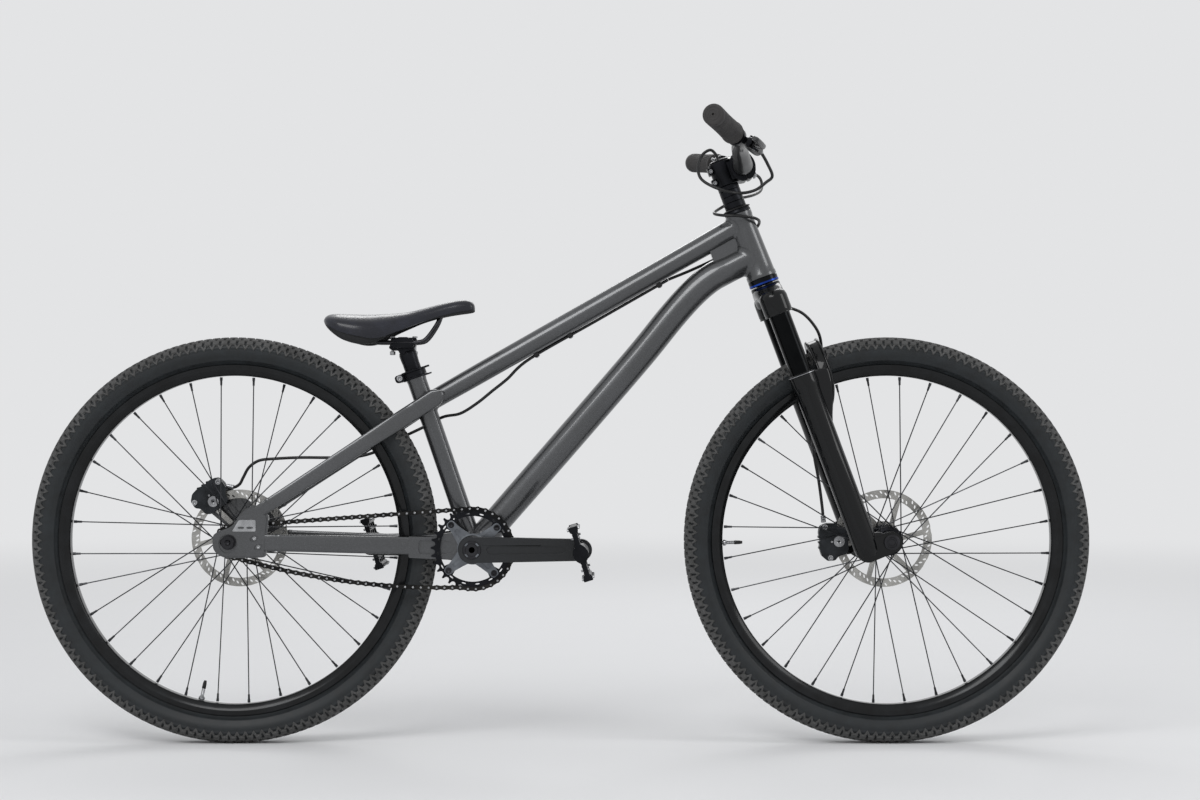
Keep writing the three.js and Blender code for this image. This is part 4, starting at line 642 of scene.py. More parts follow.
gusset_half, gusset_reach = 10.5, 66
gusset_ends = (top_end - gusset_reach * along_top, down_end + gusset_reach * unit(bends[-3] - down_end))
gusset = eased_corners([tuple(corner[[0, 2]]) for corner in (down_end, top_end, *gusset_ends)], 4)
welds = top_welds + down_welds + seat_weld
painted("head_gusset_and_welds", slab(gusset, -gusset_half, gusset_half) + welds)


# The chain stays, seat stays and dropouts. Hydroformed stays of rounded box section. The
# seat stays end in lugs that lap the seat tube and the top tube, and both pairs of stays
# are welded to machined dropout plates in which the axle slides.
rear_axle = np.array([-531.0, 0, 330.0])
dropout_inner, dropout_outer = 67.5, 77.5
dropout_reach = 60
chainstay_height = 30


def box_stay(stations, power, weld_at):
    """A stay from stations of place, half thickness and half height, with a weld bead round it."""
    line = eased(stations, 6)
    along = np.concatenate([[0], np.cumsum(np.linalg.norm(np.diff(line[:, :3], axis=0), axis=1))])
    marks = np.linspace(-4.5, 4.5, 7)
    bead = np.stack([np.interp(weld_at + marks, along, column) for column in line.T], 1)
    bead[:, 3:5] += (1.1 * np.cos(marks / 4.5 * pi / 2) - 0.2)[:, None]
    made = Form()
    for part in (line, bead):
        made += swept_stations(part, power, 40, leftward)
    return made


def chain_stay():
    slope = (rear_axle[2] - bottom_bracket[2]) / (rear_axle[0] - bottom_bracket[0])
    start = -229.0
    shares = [
        (0, 37.9, 3.9), (0.06, 38, 4.2), (0.16, 41, 5.4), (0.35, 50, 6.3), (0.55, 60, 6.5),
        (0.72, 69, 6.2), (0.77, 71.2, 5.8), (0.81, 72.4, 5),
    ]
    stations = []
    for along, y, half in shares:
        x = start + (rear_axle[0] - start) * along
        z = bottom_bracket[2] + (x - bottom_bracket[0]) * slope
        stations.append((x, y, z + 1.2, half, chainstay_height / 2 - 0.6 - 1.2 * along))
    return box_stay(stations, 5, 224)


def seat_stay():
    start = on_seat_tube(seat_joint)
    end = rear_axle + np.array([54, 0, 53])
    shares = [
        (-0.101, 19, 6, 1), (-0.1, 19.3, 9, 7), (-0.094, 19.4, 9.3, 10.6), (-0.082, 19.4, 9.4, 13),
        (-0.06, 19.4, 9.4, 14.5), (0.02, 19.5, 9.3, 14.5), (0.08, 22.6, 7.4, 14.4),
        (0.2, 35, 5.9, 14), (0.4, 45.6, 5.6, 12.5), (0.7, 59, 5.3, 11.4), (0.93, 72.5, 5, 10.5),
        (1.05, 72.5, 5, 10.2),
    ]
    stations = []
    for along, y, half, tall in shares:
        point = start + (end - start) * along
        stations.append((point[0], y, point[2], half, tall))
    return box_stay(stations, 4, 328)


dropout_outline = [
    (-0.42, -0.22, 9), (-0.15, -0.42, 12), (0.5, -0.42, 8), (1, -0.4, 6), (1.02, 0.1, 6), (1.08, 0.72, 5),
    (0.7, 1.02, 6), (0.36, 0.83, 14), (0.1, 0.42, 14), (-0.2, 0.32, 8), (-0.43, 0.2, 7),
]
brake_mount_outline = [
    (-0.9, 0.72, 7), (-0.42, 1.42, 8), (0.1, 1.1, 10), (0.5, 0.8, 8), (0.2, 0.15, 6), (-0.3, 0.22, 6),
]
axle_slot = eased_corners([(-14, -5.8), (8, -5.8), (8, 5.8), (-14, 5.8)], 5.6)
adjuster_places = [(41.5, 6.3), (48.1, -7.4)]


def sized(outline, size):
    return [(x * size, z * size, *rest) for x, z, *rest in outline]


def spun(outline, degrees):
    c, s = cos(radians(degrees)), sin(radians(degrees))
    return [(x * c - z * s, x * s + z * c) for x, z in outline]


def oval(centre, halves, lean=0.0, count=24):
    turn = np.radians(np.arange(count) * 360 / count)
    outline = spun(zip(halves[0] * np.cos(turn), halves[1] * np.sin(turn)), lean)
    return [(centre[0] + x, centre[1] + z) for x, z in outline]


def dropout(side):
    """A plate with a round well for the axle's nut and two pockets for the adjusting screws."""
    outline = eased_corners(sized(dropout_outline, dropout_reach), 5)
    hollows = [oval((-0.5, -2), (15, 15.5), 0, 40), *[oval(at, (7.4, 5), 24) for at in adjuster_places]]
    plate = slab(outline, dropout_inner + 1.4, dropout_outer - 2.6, [axle_slot])
    plate += slab(outline, dropout_inner, dropout_inner + 2.6, [axle_slot])
    raised = [(x * 0.93 + 1, z * 0.93 + 1) for x, z in outline]
    plate += slab(raised, dropout_outer - 3, dropout_outer, hollows)
    if side > 0:
        arm = eased_corners(sized(brake_mount_outline, dropout_reach), 7)
        plate += slab(arm, dropout_inner, dropout_outer)
    return plate.moved(rear_axle[0], 0, rear_axle[2])


both_sides = (("right", -1), ("left", 1))
for name, side in both_sides:
    forms = (chain_stay(), seat_stay(), dropout(side))
    stay, upper, plate = [form if side > 0 else form.mirrored() for form in forms]
    painted(f"chainstay_tube_{name}", stay)
    painted(f"dropout_{name}", plate, f"chainstay_{name}", bevel=0.9)
    painted(f"seatstay_tube_{name}", upper, f"seatstay_{name}")


# The headset and spacers. Turned aluminium cups pressed into the head tube's ends, black
# above and anodised blue below, each with a rubber lip seal, and spacers of black alloy
# between the upper cup and the stem.
def alloy(name, colours, roughness, grain=900, coat=0.0):
    """Anodised and finely turned or bead-blasted metal."""
    made = Finish(name, Metallic=0.85, Coat_Weight=coat, Coat_Roughness=0.15)
    cloud = made.spread(made.noise(40, 4), 0.35, 0.7)
    fine = made.noise(grain, 3, 0.6)
    made.toned(cloud, colours)
    made.wear(Roughness=roughness + made.spread(fine, 0.3, 0.75, -0.06, 0.1))
    return made.wear(Normal=made.raised(fine, 0.02 * MM, 0.4))


def rubber(name, colours, roughness=0.62, grain=700, depth=0.05):
    made = Finish(name, Specular_IOR_Level=0.35)
    cloud = made.spread(made.noise(30, 5, 0.6), 0.35, 0.72)
    made.toned(cloud, colours)
    made.wear(Roughness=roughness + made.spread(made.noise(120, 3), 0.3, 0.7, -0.08, 0.08))
    return made.wear(Normal=made.raised(made.noise(grain, 3, 0.7), depth * MM, 0.5))


black_alloy = alloy("black_anodised_alloy", ("#141518", "#1d1e22"), 0.34)
blue_alloy = alloy("blue_anodised_alloy", ("#16307a", "#2148a8"), 0.26)
polished_black = alloy("black_polished_alloy", ("#0f1013", "#17181c"), 0.16)
seal_rubber = rubber("seal_rubber", ("#101011", "#19191b"))


def blackened(name, form, body, stands_for=None, **more):
    return piece(name, form, black_alloy, body, stands_for, "black_alloy", **more)


upper_cup = [
    (15, 112), (21.3, 112), (21.9, 112.8), (21.9, 115), (21.2, 116.2), (20.8, 119.4), (18.4, 121.6),
    (15, 121.6),
]
lip_seal = [(16, 119.6), (22.6, 118.8), (23.2, 119.4), (22.6, 120.1), (17.6, 122.2), (16, 122.2)]
lower_cup = [(15, -11.6), (24, -11.6), (24.8, -10.6), (24.8, -1), (24.2, -0.2), (15, -0.2)]
lower_ring = [(18, -10.4), (24.6, -10.4), (25.1, -10), (25.1, -7.4), (24.6, -7), (18, -7)]
for name, profile, finish, stands_for, slot in (
    ("headset_upper_race", upper_cup, black_alloy, "headset_upper_cup", "black_alloy"),
    ("headset_lip_seal", lip_seal, seal_rubber, None, "grip_rubber"),
    ("headset_lower_race", lower_cup, polished_black, "headset_lower_cup", "black_alloy"),
    ("headset_lower_ring", lower_ring, blue_alloy, None, "blue_alloy"),
):
    piece(name, on_fork(lathe(profile, 72, "z", ring=True)), finish, "frame", stands_for, slot)

spacer_heights = (10, 10, 10, 8.4)
spacers, height = Form(), 122.4
for tall in spacer_heights:
    profile = [
        (14.6, height), (16.9, height), (17.5, height + 0.6), (17.5, height + tall - 0.7),
        (16.9, height + tall - 0.1), (14.6, height + tall - 0.1),
    ]
    spacers += lathe(profile, 64, "z", ring=True)
    height += tall
blackened("spacer_stack", on_fork(spacers), "fork_upper", "headset_spacers")


# The seat collar. A split alloy band with a flange above and below, closed by one bolt
# through the ear at the back, with two small tabs in front that guide a cable.
collar_low, collar_high = 291.0, 306.0


def slab_along(outline, low, high, order):
    """A plate as slab makes it, with its X, Y and Z put in another order."""
    made = slab(outline, low, high)
    return Form(made.points[:, order], [face[::-1] for face in made.faces])


def upright_slab(outline, low, high):
    """A plate with its outline in X and Y, from one Z to another."""
    return slab_along(outline, low, high, [0, 2, 1])


def disc(radius, low, high, sides=48, axis="y", chamfer=0.6):
    """A turned boss or bolt head with its edges broken."""
    c = min(chamfer, (high - low) / 3, radius / 3)
    rim = [(radius - c, low), (radius, low + c), (radius, high - c), (radius - c, high)]
    return lathe([(0, low), *rim, (0, high)], sides, axis)


def socket_bolt(radius, low, high, side=1, key=0.5):
    """A cap screw along Y with a chamfered head and a hexagonal key hole in its outer end."""
    depth = min(radius * 0.8, (high - low) * 0.7)
    rim = [(0, low), (radius, low), (radius, high - 0.5), (radius - 0.5, high), (radius * key + 0.4, high)]
    head = lathe([*rim, (radius * key, high - 0.4)], 36)
    turn = np.radians(np.arange(36) * 10)
    flat = radius * key * cos(pi / 6) / np.cos((turn + pi / 6) % (pi / 3) - pi / 6)
    key_hole = [
        np.stack([reach * np.cos(turn), np.full(36, y), reach * np.sin(turn)], 1)
        for reach, y in ((flat, high - 0.4), (flat, high - depth), (0 * flat, high - depth))
    ]
    made = head + loft(key_hole, caps=False)
    return made if side > 0 else made.mirrored()


band = [
    (16.3, collar_low), (20.4, collar_low), (20.8, collar_low + 0.5), (20.8, 294), (19.4, 294.8),
    (19.4, 302.2), (20.8, 303), (20.8, collar_high - 0.5), (20.4, collar_high), (16.3, collar_high),
]
collar = on_seat(lathe(band, 72, "z", ring=True))
for low, high in ((-7, -1), (1, 7)):
    lobe = slab(eased_corners([(-33, 293), (-17, 291.5), (-17, 305.5), (-33, 305)], 5), low, high)
    collar += on_seat(lobe)
for low, high in ((291, 293.4), (303, 306)):
    tab = eased_corners([(14, -6.5), (27, -4.5), (27, 4.5), (14, 6.5)], 3)
    collar += on_seat(upright_slab(tab, low, high))
blackened("seat_collar_band", collar, "frame", "seat_collar", bevel=0.5)
bright_bolt = alloy("bright_bolt_steel", ("#8b8c8e", "#b3b4b6"), 0.26, 1400)


def bright(name, form, body, **more):
    return piece(name, form, bright_bolt, body, slot="bright_steel", **more)


collar_bolt = socket_bolt(5, 6.4, 9.6) + socket_bolt(5, 6.4, 9.6, -1)
bright("seat_collar_bolt", on_seat(collar_bolt.moved(-25, 0, 299.5)), "frame")


# The seatpost, its clamp and the saddle rails. A drawn alloy post runs down inside the seat
# tube. Its forged head ends in a fork in front and behind, whose two bolts pull an upper
# clamp plate down onto the saddle's bent steel rails.
rail_place = on_seat_tube(353)
post_radius, post_bottom, post_top = 13.7, 84.0, 338.0
rail_radius = 3.5
rail_route = [
    (-80.5, 18.9, 22.9), (-63.4, 21.6, 7.0), (-50, 22, 1.4), (-37.8, 22, 0), (0, 22, 0), (24.4, 22, 0),
    (37.8, 20.9, 5.3), (53.7, 13.6, 27.3), (62.2, 5.5, 46.6), (64.5, 0, 51),
]


def on_rails(form):
    return form.moved(*rail_place)


post_profile = [
    (0, post_bottom), (13.2, post_bottom), (post_radius, post_bottom + 1.2), (post_radius, 318),
    (14.2, 324), (14.6, 333), (13, post_top), (0, post_top),
]
head = on_seat(lathe(post_profile, 64, "z"))
cradle = eased_corners(
    [
        (-21, -3.5), (-24, -9), (-18, -13.5), (-8, -13), (-6, -19), (7, -18), (9, -13), (16, -12.5),
        (21, -4), (17, -1.2), (12, -4.8), (-13, -4.8), (-17, -1.8),
    ],
    3.5,
)
saddle_seat = eased_corners([(-19, -3.7), (-14, -9.5), (14, -9.5), (19, -3.7), (16, -1), (-16, -1)], 2.5)
bar = [(-12, -8.6), (12, -8.6), (12, -4.4), (-12, -4.4)]
head += on_rails(slab(cradle, -13, 13) + plates(saddle_seat, 17, 27) + slab(bar, -26, 26))
blackened("seatpost_drawn", head, "seat", "seatpost", bevel=0.7)

lobe = eased_corners([(-18, 0.8), (18, 0.8), (17, 4.6), (8, 6.8), (-8, 6.8), (-17, 4.6)], 2.4)
clamp = plates(lobe, 17.5, 26.5)
clamp += slab(eased_corners([(-10, 2.4), (10, 2.4), (8, 8.6), (-8, 8.6)], 2), -18, 18)
clamp += slab(eased_corners([(-22, 4), (22, 4), (20, 8), (-20, 8)], 2), -6.5, 6.5)
blackened("saddle_clamp_plate", on_rails(clamp), "seat", "saddle_clamp", bevel=0.6)
studs = Form()
for x in (-18.2, 18.2):
    stud = disc(2.4, -15.5, 6, 20, "z") + disc(4.6, -20.5, -14.5, 24, "z") + disc(4.2, 7.6, 10, 6, "z", 0.3)
    studs += stud.moved(x)
bright("saddle_clamp_bolts", on_rails(studs), "seat")


def brushed(name, colours, roughness, along=(1, 1, 1), grain=500):
    """Bare steel with a drawn or ground grain."""
    made = Finish(name, Metallic=0.95)
    grained = made.noise(grain, 3, 0.6, made.stretched(made.place(), along))
    cloud = made.spread(made.noise(25, 4), 0.35, 0.7)
    made.toned(cloud, colours)
    made.wear(Roughness=roughness + made.spread(grained, 0.3, 0.7, -0.06, 0.12))
    return made.wear(Normal=made.raised(grained, 0.02 * MM, 0.5))


dark_steel = brushed("dark_steel", ("#2b2b2d", "#3d3d40"), 0.36, (1, 1, 6))
rails = swept(eased(both_halves(rail_route)), round_sections([rail_radius], 20))
piece("saddle_rail_wire", on_rails(rails), dark_steel, "seat", "saddle_rails", "dark_steel")


# The saddle. A foam pad is moulded onto a plastic base and covered with one glossy dark
# blue-black sheet, stretched tight and turned under at the hem, where the base's dull edge
# shows below it at the back and under the nose.
# Each station: place, half width, top, hem of the base, and how far the cover stops above it.
saddle_stations = [
    (-127.6, 26, 37.5, 33, 1), (-124.5, 41, 42.5, 28.5, 2.5), (-118.3, 51, 45.6, 21, 5.5),
    (-107, 59.5, 46.6, 11.5, 9.5), (-95.2, 64, 46.3, 4.2, 12), (-80, 66.2, 45.6, -1.2, 13.4),
    (-63.9, 66, 45.3, -4.0, 12.8), (-48, 63.2, 45.4, -2.4, 8.6), (-31.7, 58, 46.2, 4.6, 3.6),
    (-12, 49, 47.4, 14.5, 1.4), (9.8, 38.6, 50, 23.8, 1), (30, 30.2, 55, 31.6, 1.4),
    (51.2, 24.2, 60.4, 38, 2.6), (72, 20.4, 65.6, 42.6, 3.8), (90.3, 18.6, 69, 45.6, 4.6),
    (103, 16.6, 69.2, 47.2, 4.8), (110.5, 13.4, 66.8, 48.4, 4.6), (114.6, 8.6, 62.4, 49.6, 3.6),
    (116, 3.6, 57.8, 51.2, 2),
]


def saddle_cover(line):
    rings = []
    for x, half, roof, base_hem, gap in line:
        hem = base_hem + gap
        ring = []
        for turn in np.linspace(-pi / 2, pi / 2, 41):
            out, lift = sin(turn), max(cos(turn), 0)
            fold = 0.5 * abs(out) ** 12
            ring.append((x, half * (out * (1 - 0.012 * fold)), hem + (roof - hem) * lift**0.62))
        tuck = [(half * share, hem + inset) for share, inset in ((0.985, -0.9), (0.95, -1.1), (0.9, 0.6))]
        ring += [(x, y, z) for y, z in tuck]
        ring += [(x, half * share, hem + (roof - hem) * 0.45) for share in (0.6, 0, -0.6)]
        ring += [(x, -y, z) for y, z in tuck[::-1]]
        rings.append(ring)
    return loft(rings)


def saddle_base(line):
    rings = []
    for x, half, roof, hem, gap in line:
        arch = (roof - hem) * 0.42
        half = max(half * 0.965 - 1.2, half * 0.8)
        side = [
            (half * 0.93, hem + gap + 3), (half, hem + gap + 0.5), (half * 0.995, hem + gap * 0.6),
            (half * 0.975, hem + gap * 0.25), (half * 0.95, hem), (half * 0.915, hem - 0.2),
            (half * 0.89, hem + 0.8), (half * 0.87, hem + 3), (half * 0.72, hem + arch * 0.62),
            (half * 0.4, hem + arch * 0.9),
        ]
        ring = [(x, y, z) for y, z in side] + [(x, 0, hem + arch)]
        ring += [(x, -y, z) for y, z in side[::-1]] + [(x, 0, hem + arch + 3 + gap * 0.2)]
        rings.append(ring)
    return loft(rings)


cover_finish = Finish("saddle_cover_sheet", Coat_Weight=0.4, Coat_Roughness=0.18, Specular_IOR_Level=0.25)
pores = cover_finish.node(
    "ShaderNodeTexVoronoi", {"feature": "DISTANCE_TO_EDGE"}, {"Vector": cover_finish.place(), "Scale": 900}
)
scuffs = cover_finish.spread(cover_finish.noise(34, 5, 0.62), 0.45, 0.75)
cover_finish.wear(
    Base_Color=cover_finish.mixed(scuffs, tone("#0f111b"), tone("#1b1e2b")),
    Roughness=0.34 + scuffs * 0.16,
    Normal=cover_finish.raised(cover_finish.spread(pores, 0, 0.06), 0.06 * MM, 0.5),
)
base_plastic = rubber("moulded_base_plastic", ("#0f1012", "#17181b"), 0.5, 1200, 0.03)
saddle_line = eased(saddle_stations, 5)
cover = on_rails(saddle_cover(saddle_line))
cover = piece("saddle_cover_and_pad", cover, cover_finish, "seat", "saddle", "saddle_cover")
piece("saddle_base_shell", on_rails(saddle_base(saddle_line)), base_plastic, "seat", slot="saddle_cover")


# The fork's upper half. A forged crown holds the steerer and two black coated stanchions in
# deep round sockets, with a pinch-free smooth shoulder over each and a turned race on top.
leg_half = 65.0
socket_top, socket_bottom = -26.0, -66.0
stanchion_radius, stanchion_bottom = 17.5, -339.0
black_paint = flaked_paint(
    "gloss_black_paint", ("#040506", "#08090b", "#131518"), 0.0, 0.3, 0.5, 2400, under=0.05
)
stanchion_coat = brushed("black_stanchion_coat", ("#0c0d0e", "#131415"), 0.14, (1, 1, 0.2), 300)

socket = [
    (0, socket_top), (12, socket_top), (18, -28.4), (21.6, -32.4), (23, -38), (23, -60), (22.4, -63.6),
    (22.9, -64.2), (22.9, -65.4), (22.2, socket_bottom), (stanchion_radius - 2, socket_bottom),
    (0, socket_bottom),
]
crown_stations = [
    (0, -68, -42, 17, 12), (0, -62, -41, 20, 13), (0, -50, -37, 21.5, 13.6), (0, -36, -30, 22.5, 13),
    (0, -22, -25.4, 23.6, 12), (0, 0, -23.6, 24.4, 11.4),
]


def on_both_legs(form):
    return form.moved(0, -leg_half) + form.moved(0, leg_half)


crown = swept_stations(eased(both_halves(crown_stations), 5), 2.8, 48, np.array([1.0, 0, 0]))
crown += on_both_legs(lathe(socket, 64, "z"))
crown += lathe([(0, -34), (20, -34), (24, -24), (24.6, -15), (23.4, -12.6), (0, -12.6)], 64, "z")
piece("fork_crown_forging", on_fork(crown), black_paint, "fork_upper", "fork_crown", "black_paint")
stanchion = [(0, stanchion_bottom), (stanchion_radius, stanchion_bottom), (stanchion_radius, -60), (0, -60)]
legs = on_both_legs(lathe(stanchion, 64, "z"))
legs += lathe([(0, -30), (14.2, -30), (14.2, 196), (11.4, 196), (11.4, -20), (0, -20)], 48, "z")
piece("stanchions_and_steerer", on_fork(legs), stanchion_coat, "fork_upper", slot="black_paint")


# The fork's lower legs. One magnesium casting: two tapering legs joined by an arch in front
# of the tyre, a lug that reaches forward to the axle at each foot, a rubber wiper in each
# mouth and a foot nut under each leg. Painted gloss black.
leg_top, leg_bottom = -170.0, -481.0
axle_ahead, axle_down = 40.0, -471.0
lug_inner, lug_outer = 55.4, 78.0
leg_profile = [
    (18, leg_top), (21.2, leg_top), (22.2, -171), (22.4, -186), (21.6, -192), (20.6, -200), (20.4, -300),
    (20.5, -420), (20.7, -462), (19.4, -474), (16, leg_bottom), (0, leg_bottom),
]
arch_stations = [
    (14, 60, -238, 7, 4), (24, 60, -226, 9, 6), (32, 59, -208, 10, 7.6), (36, 56.5, -188, 10.2, 7.4),
    (37.6, 51, -168, 10.4, 6.6), (38, 41, -149, 10.6, 6.0), (38, 24, -133.5, 10.6, 5.8),
    (38, 0, -128.6, 10.6, 5.8),
]
arch_root = [
    (14, 61, -262, 5, 6), (17, 61, -244, 8, 8), (21, 60.5, -222, 13, 9), (25, 60, -200, 16.5, 9),
    (27, 59.5, -182, 17, 8.6), (28, 59, -173, 16, 8), (28.4, 58.8, -170.4, 13.5, 6),
]


def arch():
    line = eased(both_halves(arch_stations), 6)
    forward = np.array([1.0, 0, 0])
    web = swept(line[:, :3], [rounded_section((a, b * 0.62), 4, 32) for a, b in line[:, 3:5]], forward)
    for offset in (-1, 1):
        rib = line[:, :3] + np.outer(line[:, 3] * 0.8 * offset, forward)
        web += swept(rib, [rounded_section((2.4, b), 3, 24) for b in line[:, 4] * 1.05], forward)
    root = swept_stations(eased(arch_root, 5), 3.4, 32, forward)
    return web + root + root.mirrored()


def stadium(root, end, length, steps=20):
    lean = np.degrees(np.arcsin((root - end) / length))
    return arc(root, 90 - lean, 270 + lean, steps) + arc(end, lean - 90, 90 - lean, steps, (length, 0))


foot = slab(stadium(18.5, 17, axle_ahead), lug_inner + 2, lug_outer - 1.5)
foot += slab(stadium(16, 15, axle_ahead), lug_inner, lug_outer)
web = eased([(4, leg_half, -468, 9, 13), (20, leg_half, -462, 8.6, 15), (32, leg_half, -462, 7.4, 10)], 6)
leg = foot.moved(0, 0, axle_down) + lathe(leg_profile, 64, "z").moved(0, leg_half)
leg += swept_stations(web, 3, 28, leftward)
lowers = arch() + leg.mirrored() + leg
mount = eased_corners([(-33, -474), (-16, -478), (-10, -462), (-12, -425), (-20, -418), (-33, -422)], 4)
lowers += slab(mount, 50.6, 63)
lowers = on_fork(lowers)
piece("fork_lower_casting", lowers, black_paint, "fork_lowers", "fork_lowers", "black_paint", crease=42)

wiper = [(17.7, -169.4), (20.9, -169.4), (21.3, -168), (19.8, -167), (18.4, -166.6), (17.7, -167.2)]
retainer = [(18, -170), (22.7, -170), (22.7, -168.9), (18, -168.9)]
wipers, retainers = (on_both_legs(lathe(profile, 64, "z", ring=True)) for profile in (wiper, retainer))
nuts = on_both_legs(disc(10, -486.4, -479, 48, "z", 1.4) + disc(6.4, -488.2, -486, 6, "z", 0.4))
piece("fork_wipers", on_fork(wipers), seal_rubber, "fork_lowers", slot="grip_rubber")
bright("fork_wiper_retainers", on_fork(retainers), "fork_lowers")
bright("fork_foot_nuts", on_fork(nuts), "fork_lowers")


# The stem, its faceplate and the top cap. Two machined black alloy clamps: one grips the
# steerer with two bolts behind, the other holds the handlebar under a plate with four bolts.
# The cap on top has a plain hole, through which the front brake hose goes down the steerer.
bar_middle = np.array([32.0, 0, 181.0])
stem_low, stem_high = 161.0, 201.0
clamp_bore, bar_clamp_half, half_slit = 16.3, 25.0, 0.8

steerer_clamp = [
    (14.6, stem_low), (18.7, stem_low), (19.5, 161.8), (19.5, 200.2), (18.7, stem_high),
    (14.6, stem_high),
]
stem = lathe(steerer_clamp, 64, "z", ring=True)
for low, high in ((165, 177), (185, 197)):
    boss = eased_corners([(-23, -12.5), (-16, -14.5), (-12, 0), (-16, 14.5), (-23, 12.5)], 3)
    for half in (-1, 1):
        lug = [(x, y) for x, y in boss if y * half >= half_slit]
        lug += [(-12, half * half_slit), (-23, half * half_slit)]
        centre = np.mean(lug, 0)
        lug = sorted(lug, key=lambda q: atan2(q[1] - centre[1], q[0] - centre[0]))
        stem += upright_slab(lug, low, high)
cheek = eased_corners([(8, 166), (26, 166), (26, 196), (8, 196)], 3)
pocket = eased_corners([(15, 173), (21.5, 173), (21.5, 189), (15, 189)], 2)
stem += plates(cheek, 9.5, 17, [pocket])
stem += slab(eased_corners([(8, 168), (24, 168), (24, 194), (8, 194)], 3), -11, 11)


def bar_clamp(facing):
    """Half of the handlebar clamp, with a flat boss over and under for two bolts."""
    gap = 0.4 if facing < 0 else 1.3
    outer = both_halves([(gap, 24.5), (9, 23.6), (17.5, 15.5), (21, 4)], False)
    inner = [(max(x, gap), z) for x, z in arc(clamp_bore, -88, 88, 20)]
    outline = [(facing * x, z) for x, z in eased_corners(outer, 3.4) + inner]
    return slab(outline, -bar_clamp_half, bar_clamp_half).moved(*bar_middle)


stem += bar_clamp(-1)
blackened("stem_body", on_fork(stem), "fork_upper", "stem", bevel=0.6)
blackened("stem_front_plate", on_fork(bar_clamp(1)), "fork_upper", "stem_faceplate", bevel=0.6)
cap = [(4.6, 201.3), (15.2, 201.3), (16, 202), (16, 203.6), (13.4, 205.2), (6, 205.2), (4.6, 204.2)]
blackened("stem_cap", on_fork(lathe(cap, 64, "z", ring=True)), "fork_upper", "stem_top_cap")
bolts = Form()
for y, z in ((-18, -20), (-18, 20), (18, -20), (18, 20)):
    bolts += disc(3.6, 9.5, 13.6, 24, "x", 0.5).moved(*(bar_middle + np.array([3.4, y, z])))
for z in (171, 191):
    bolts += (socket_bolt(3.4, 13.6, 16.2, -1) + socket_bolt(3.4, 13.6, 16.2)).moved(-18.6, 0, z)
bright("stem_bolts", on_fork(bolts), "fork_upper")


# The handlebar and grips. A butted tube, thick where it is clamped, bent up and back and
# painted satin black. Each grip is one moulded rubber sleeve with a flange at its inner end,
# fine ribs round the palm and a closed end with turned rings and a small hole.
bar_stations = [
    (-44, -370, 62, 11.1), (-32.5, -320, 51.7, 11.1), (-21.1, -270, 41.4, 11.1), (-12, -226, 33, 11.1),
    (-5.4, -190, 26.2, 11.2), (-3.9, -128, 21.1, 12.5), (-1, -62.4, 5.4, 14.5), (0, -40, 0.2, 15.8),
    (0, -28, 0, 15.9), (0, 0, 0, 15.9),
]
bar_line = eased(both_halves(bar_stations), 6)
bar_tube = swept(bar_line[:, :3] + bar_middle, round_sections(bar_line[:, 3], 40), (0, 0, 1.0))
bar_paint = flaked_paint("satin_black_paint", ("#0e0f10", "#141517", "#1c1d20"), 0.2, 0.42, 0.35, 2600)
piece("handlebar_tube", on_fork(bar_tube), bar_paint, "fork_upper", "handlebar", "black_paint")

bar_end = bar_middle + np.array([-44, 370, 62])
bar_out = unit((-39, 170, 35))
bar_above = unit(np.array([0, 0, 1.0]) - bar_out * bar_out[2])
bar_forward = np.cross(bar_out, bar_above)


def at_bar_end(form, side):
    form = form.based(bar_end, bar_forward, bar_out, bar_above)
    return on_fork(form if side > 0 else form.mirrored())


grip_profile = [(11.2, -126), (16.6, -126), (17.6, -125), (17.6, -122), (16.8, -121), (16.6, -117)]
for i in range(46):
    rib = -115.4 + i * 2.35
    body = 16.8 - 0.7 * sin(pi * (i + 2) / 50) + 0.2 * (1 - i / 46)
    grip_profile += [(body - 0.45, rib), (body, rib + 0.5), (body, rib + 1.5), (body - 0.45, rib + 2.0)]
grip_profile += [
    (16.4, -5), (16.6, 1), (15.8, 3.3), (14.4, 4), (11.6, 4), (11.3, 3.5), (9.2, 3.5), (8.9, 4), (6.9, 4),
    (6.6, 3.5), (4.4, 3.5), (4.1, 3.9), (1.9, 3.9), (1.6, 3), (1.5, 0.8), (0, 0.8), (0, 0.3), (11.2, 0.3),
]
grip_rubber = rubber("grip_rubber", ("#2b2a2b", "#3b3938"), 0.68, 900, 0.06)
for name, side in both_sides:
    sleeve = at_bar_end(lathe(grip_profile, 64, ring=True), side)
    piece(f"grip_sleeve_{name}", sleeve, grip_rubber, "fork_upper", f"grip_{name}", "grip_rubber")


# The brake masters and levers. Each is a forged black body clamped to the bar, with its
# cylinder lying along the bar and its hose leaving the inner end, and a one-finger alloy
# blade that turns on a pin through the body's two ears.
lever_tilt, lever_inboard = 48, 150
blade_stations = [
    (38.5, 10.6, 3.2, 3), (40, 13.5, 4.7, 3.8), (44.4, 22, 5.2, 4), (50.8, 32, 4.8, 4), (58, 43, 4.3, 3.8),
    (62.6, 56, 4.2, 3.7), (64, 72, 4.3, 3.7), (63.6, 88, 4.8, 3.9), (62.4, 100, 5.4, 4),
    (61.6, 107, 5.2, 3.9), (61.2, 111, 3.2, 3),
]
cylinder_stations = [
    (26, -61, 3.4), (26, -60, 5.4), (26, -55, 6.4), (26, -54, 8.2), (26, -48, 9.2), (26, -30, 9.8),
    (26, -8, 10), (26.5, 5, 9), (27, 11, 6.8), (27.4, 14, 4),
]


def at_lever(form, side):
    return at_bar_end(form.turned(-lever_tilt).moved(0, -lever_inboard, 0), side)


def level_route(line):
    """The line's X and Y, at Z 0."""
    return np.pad(line[:, :2], ((0, 0), (0, 1)))


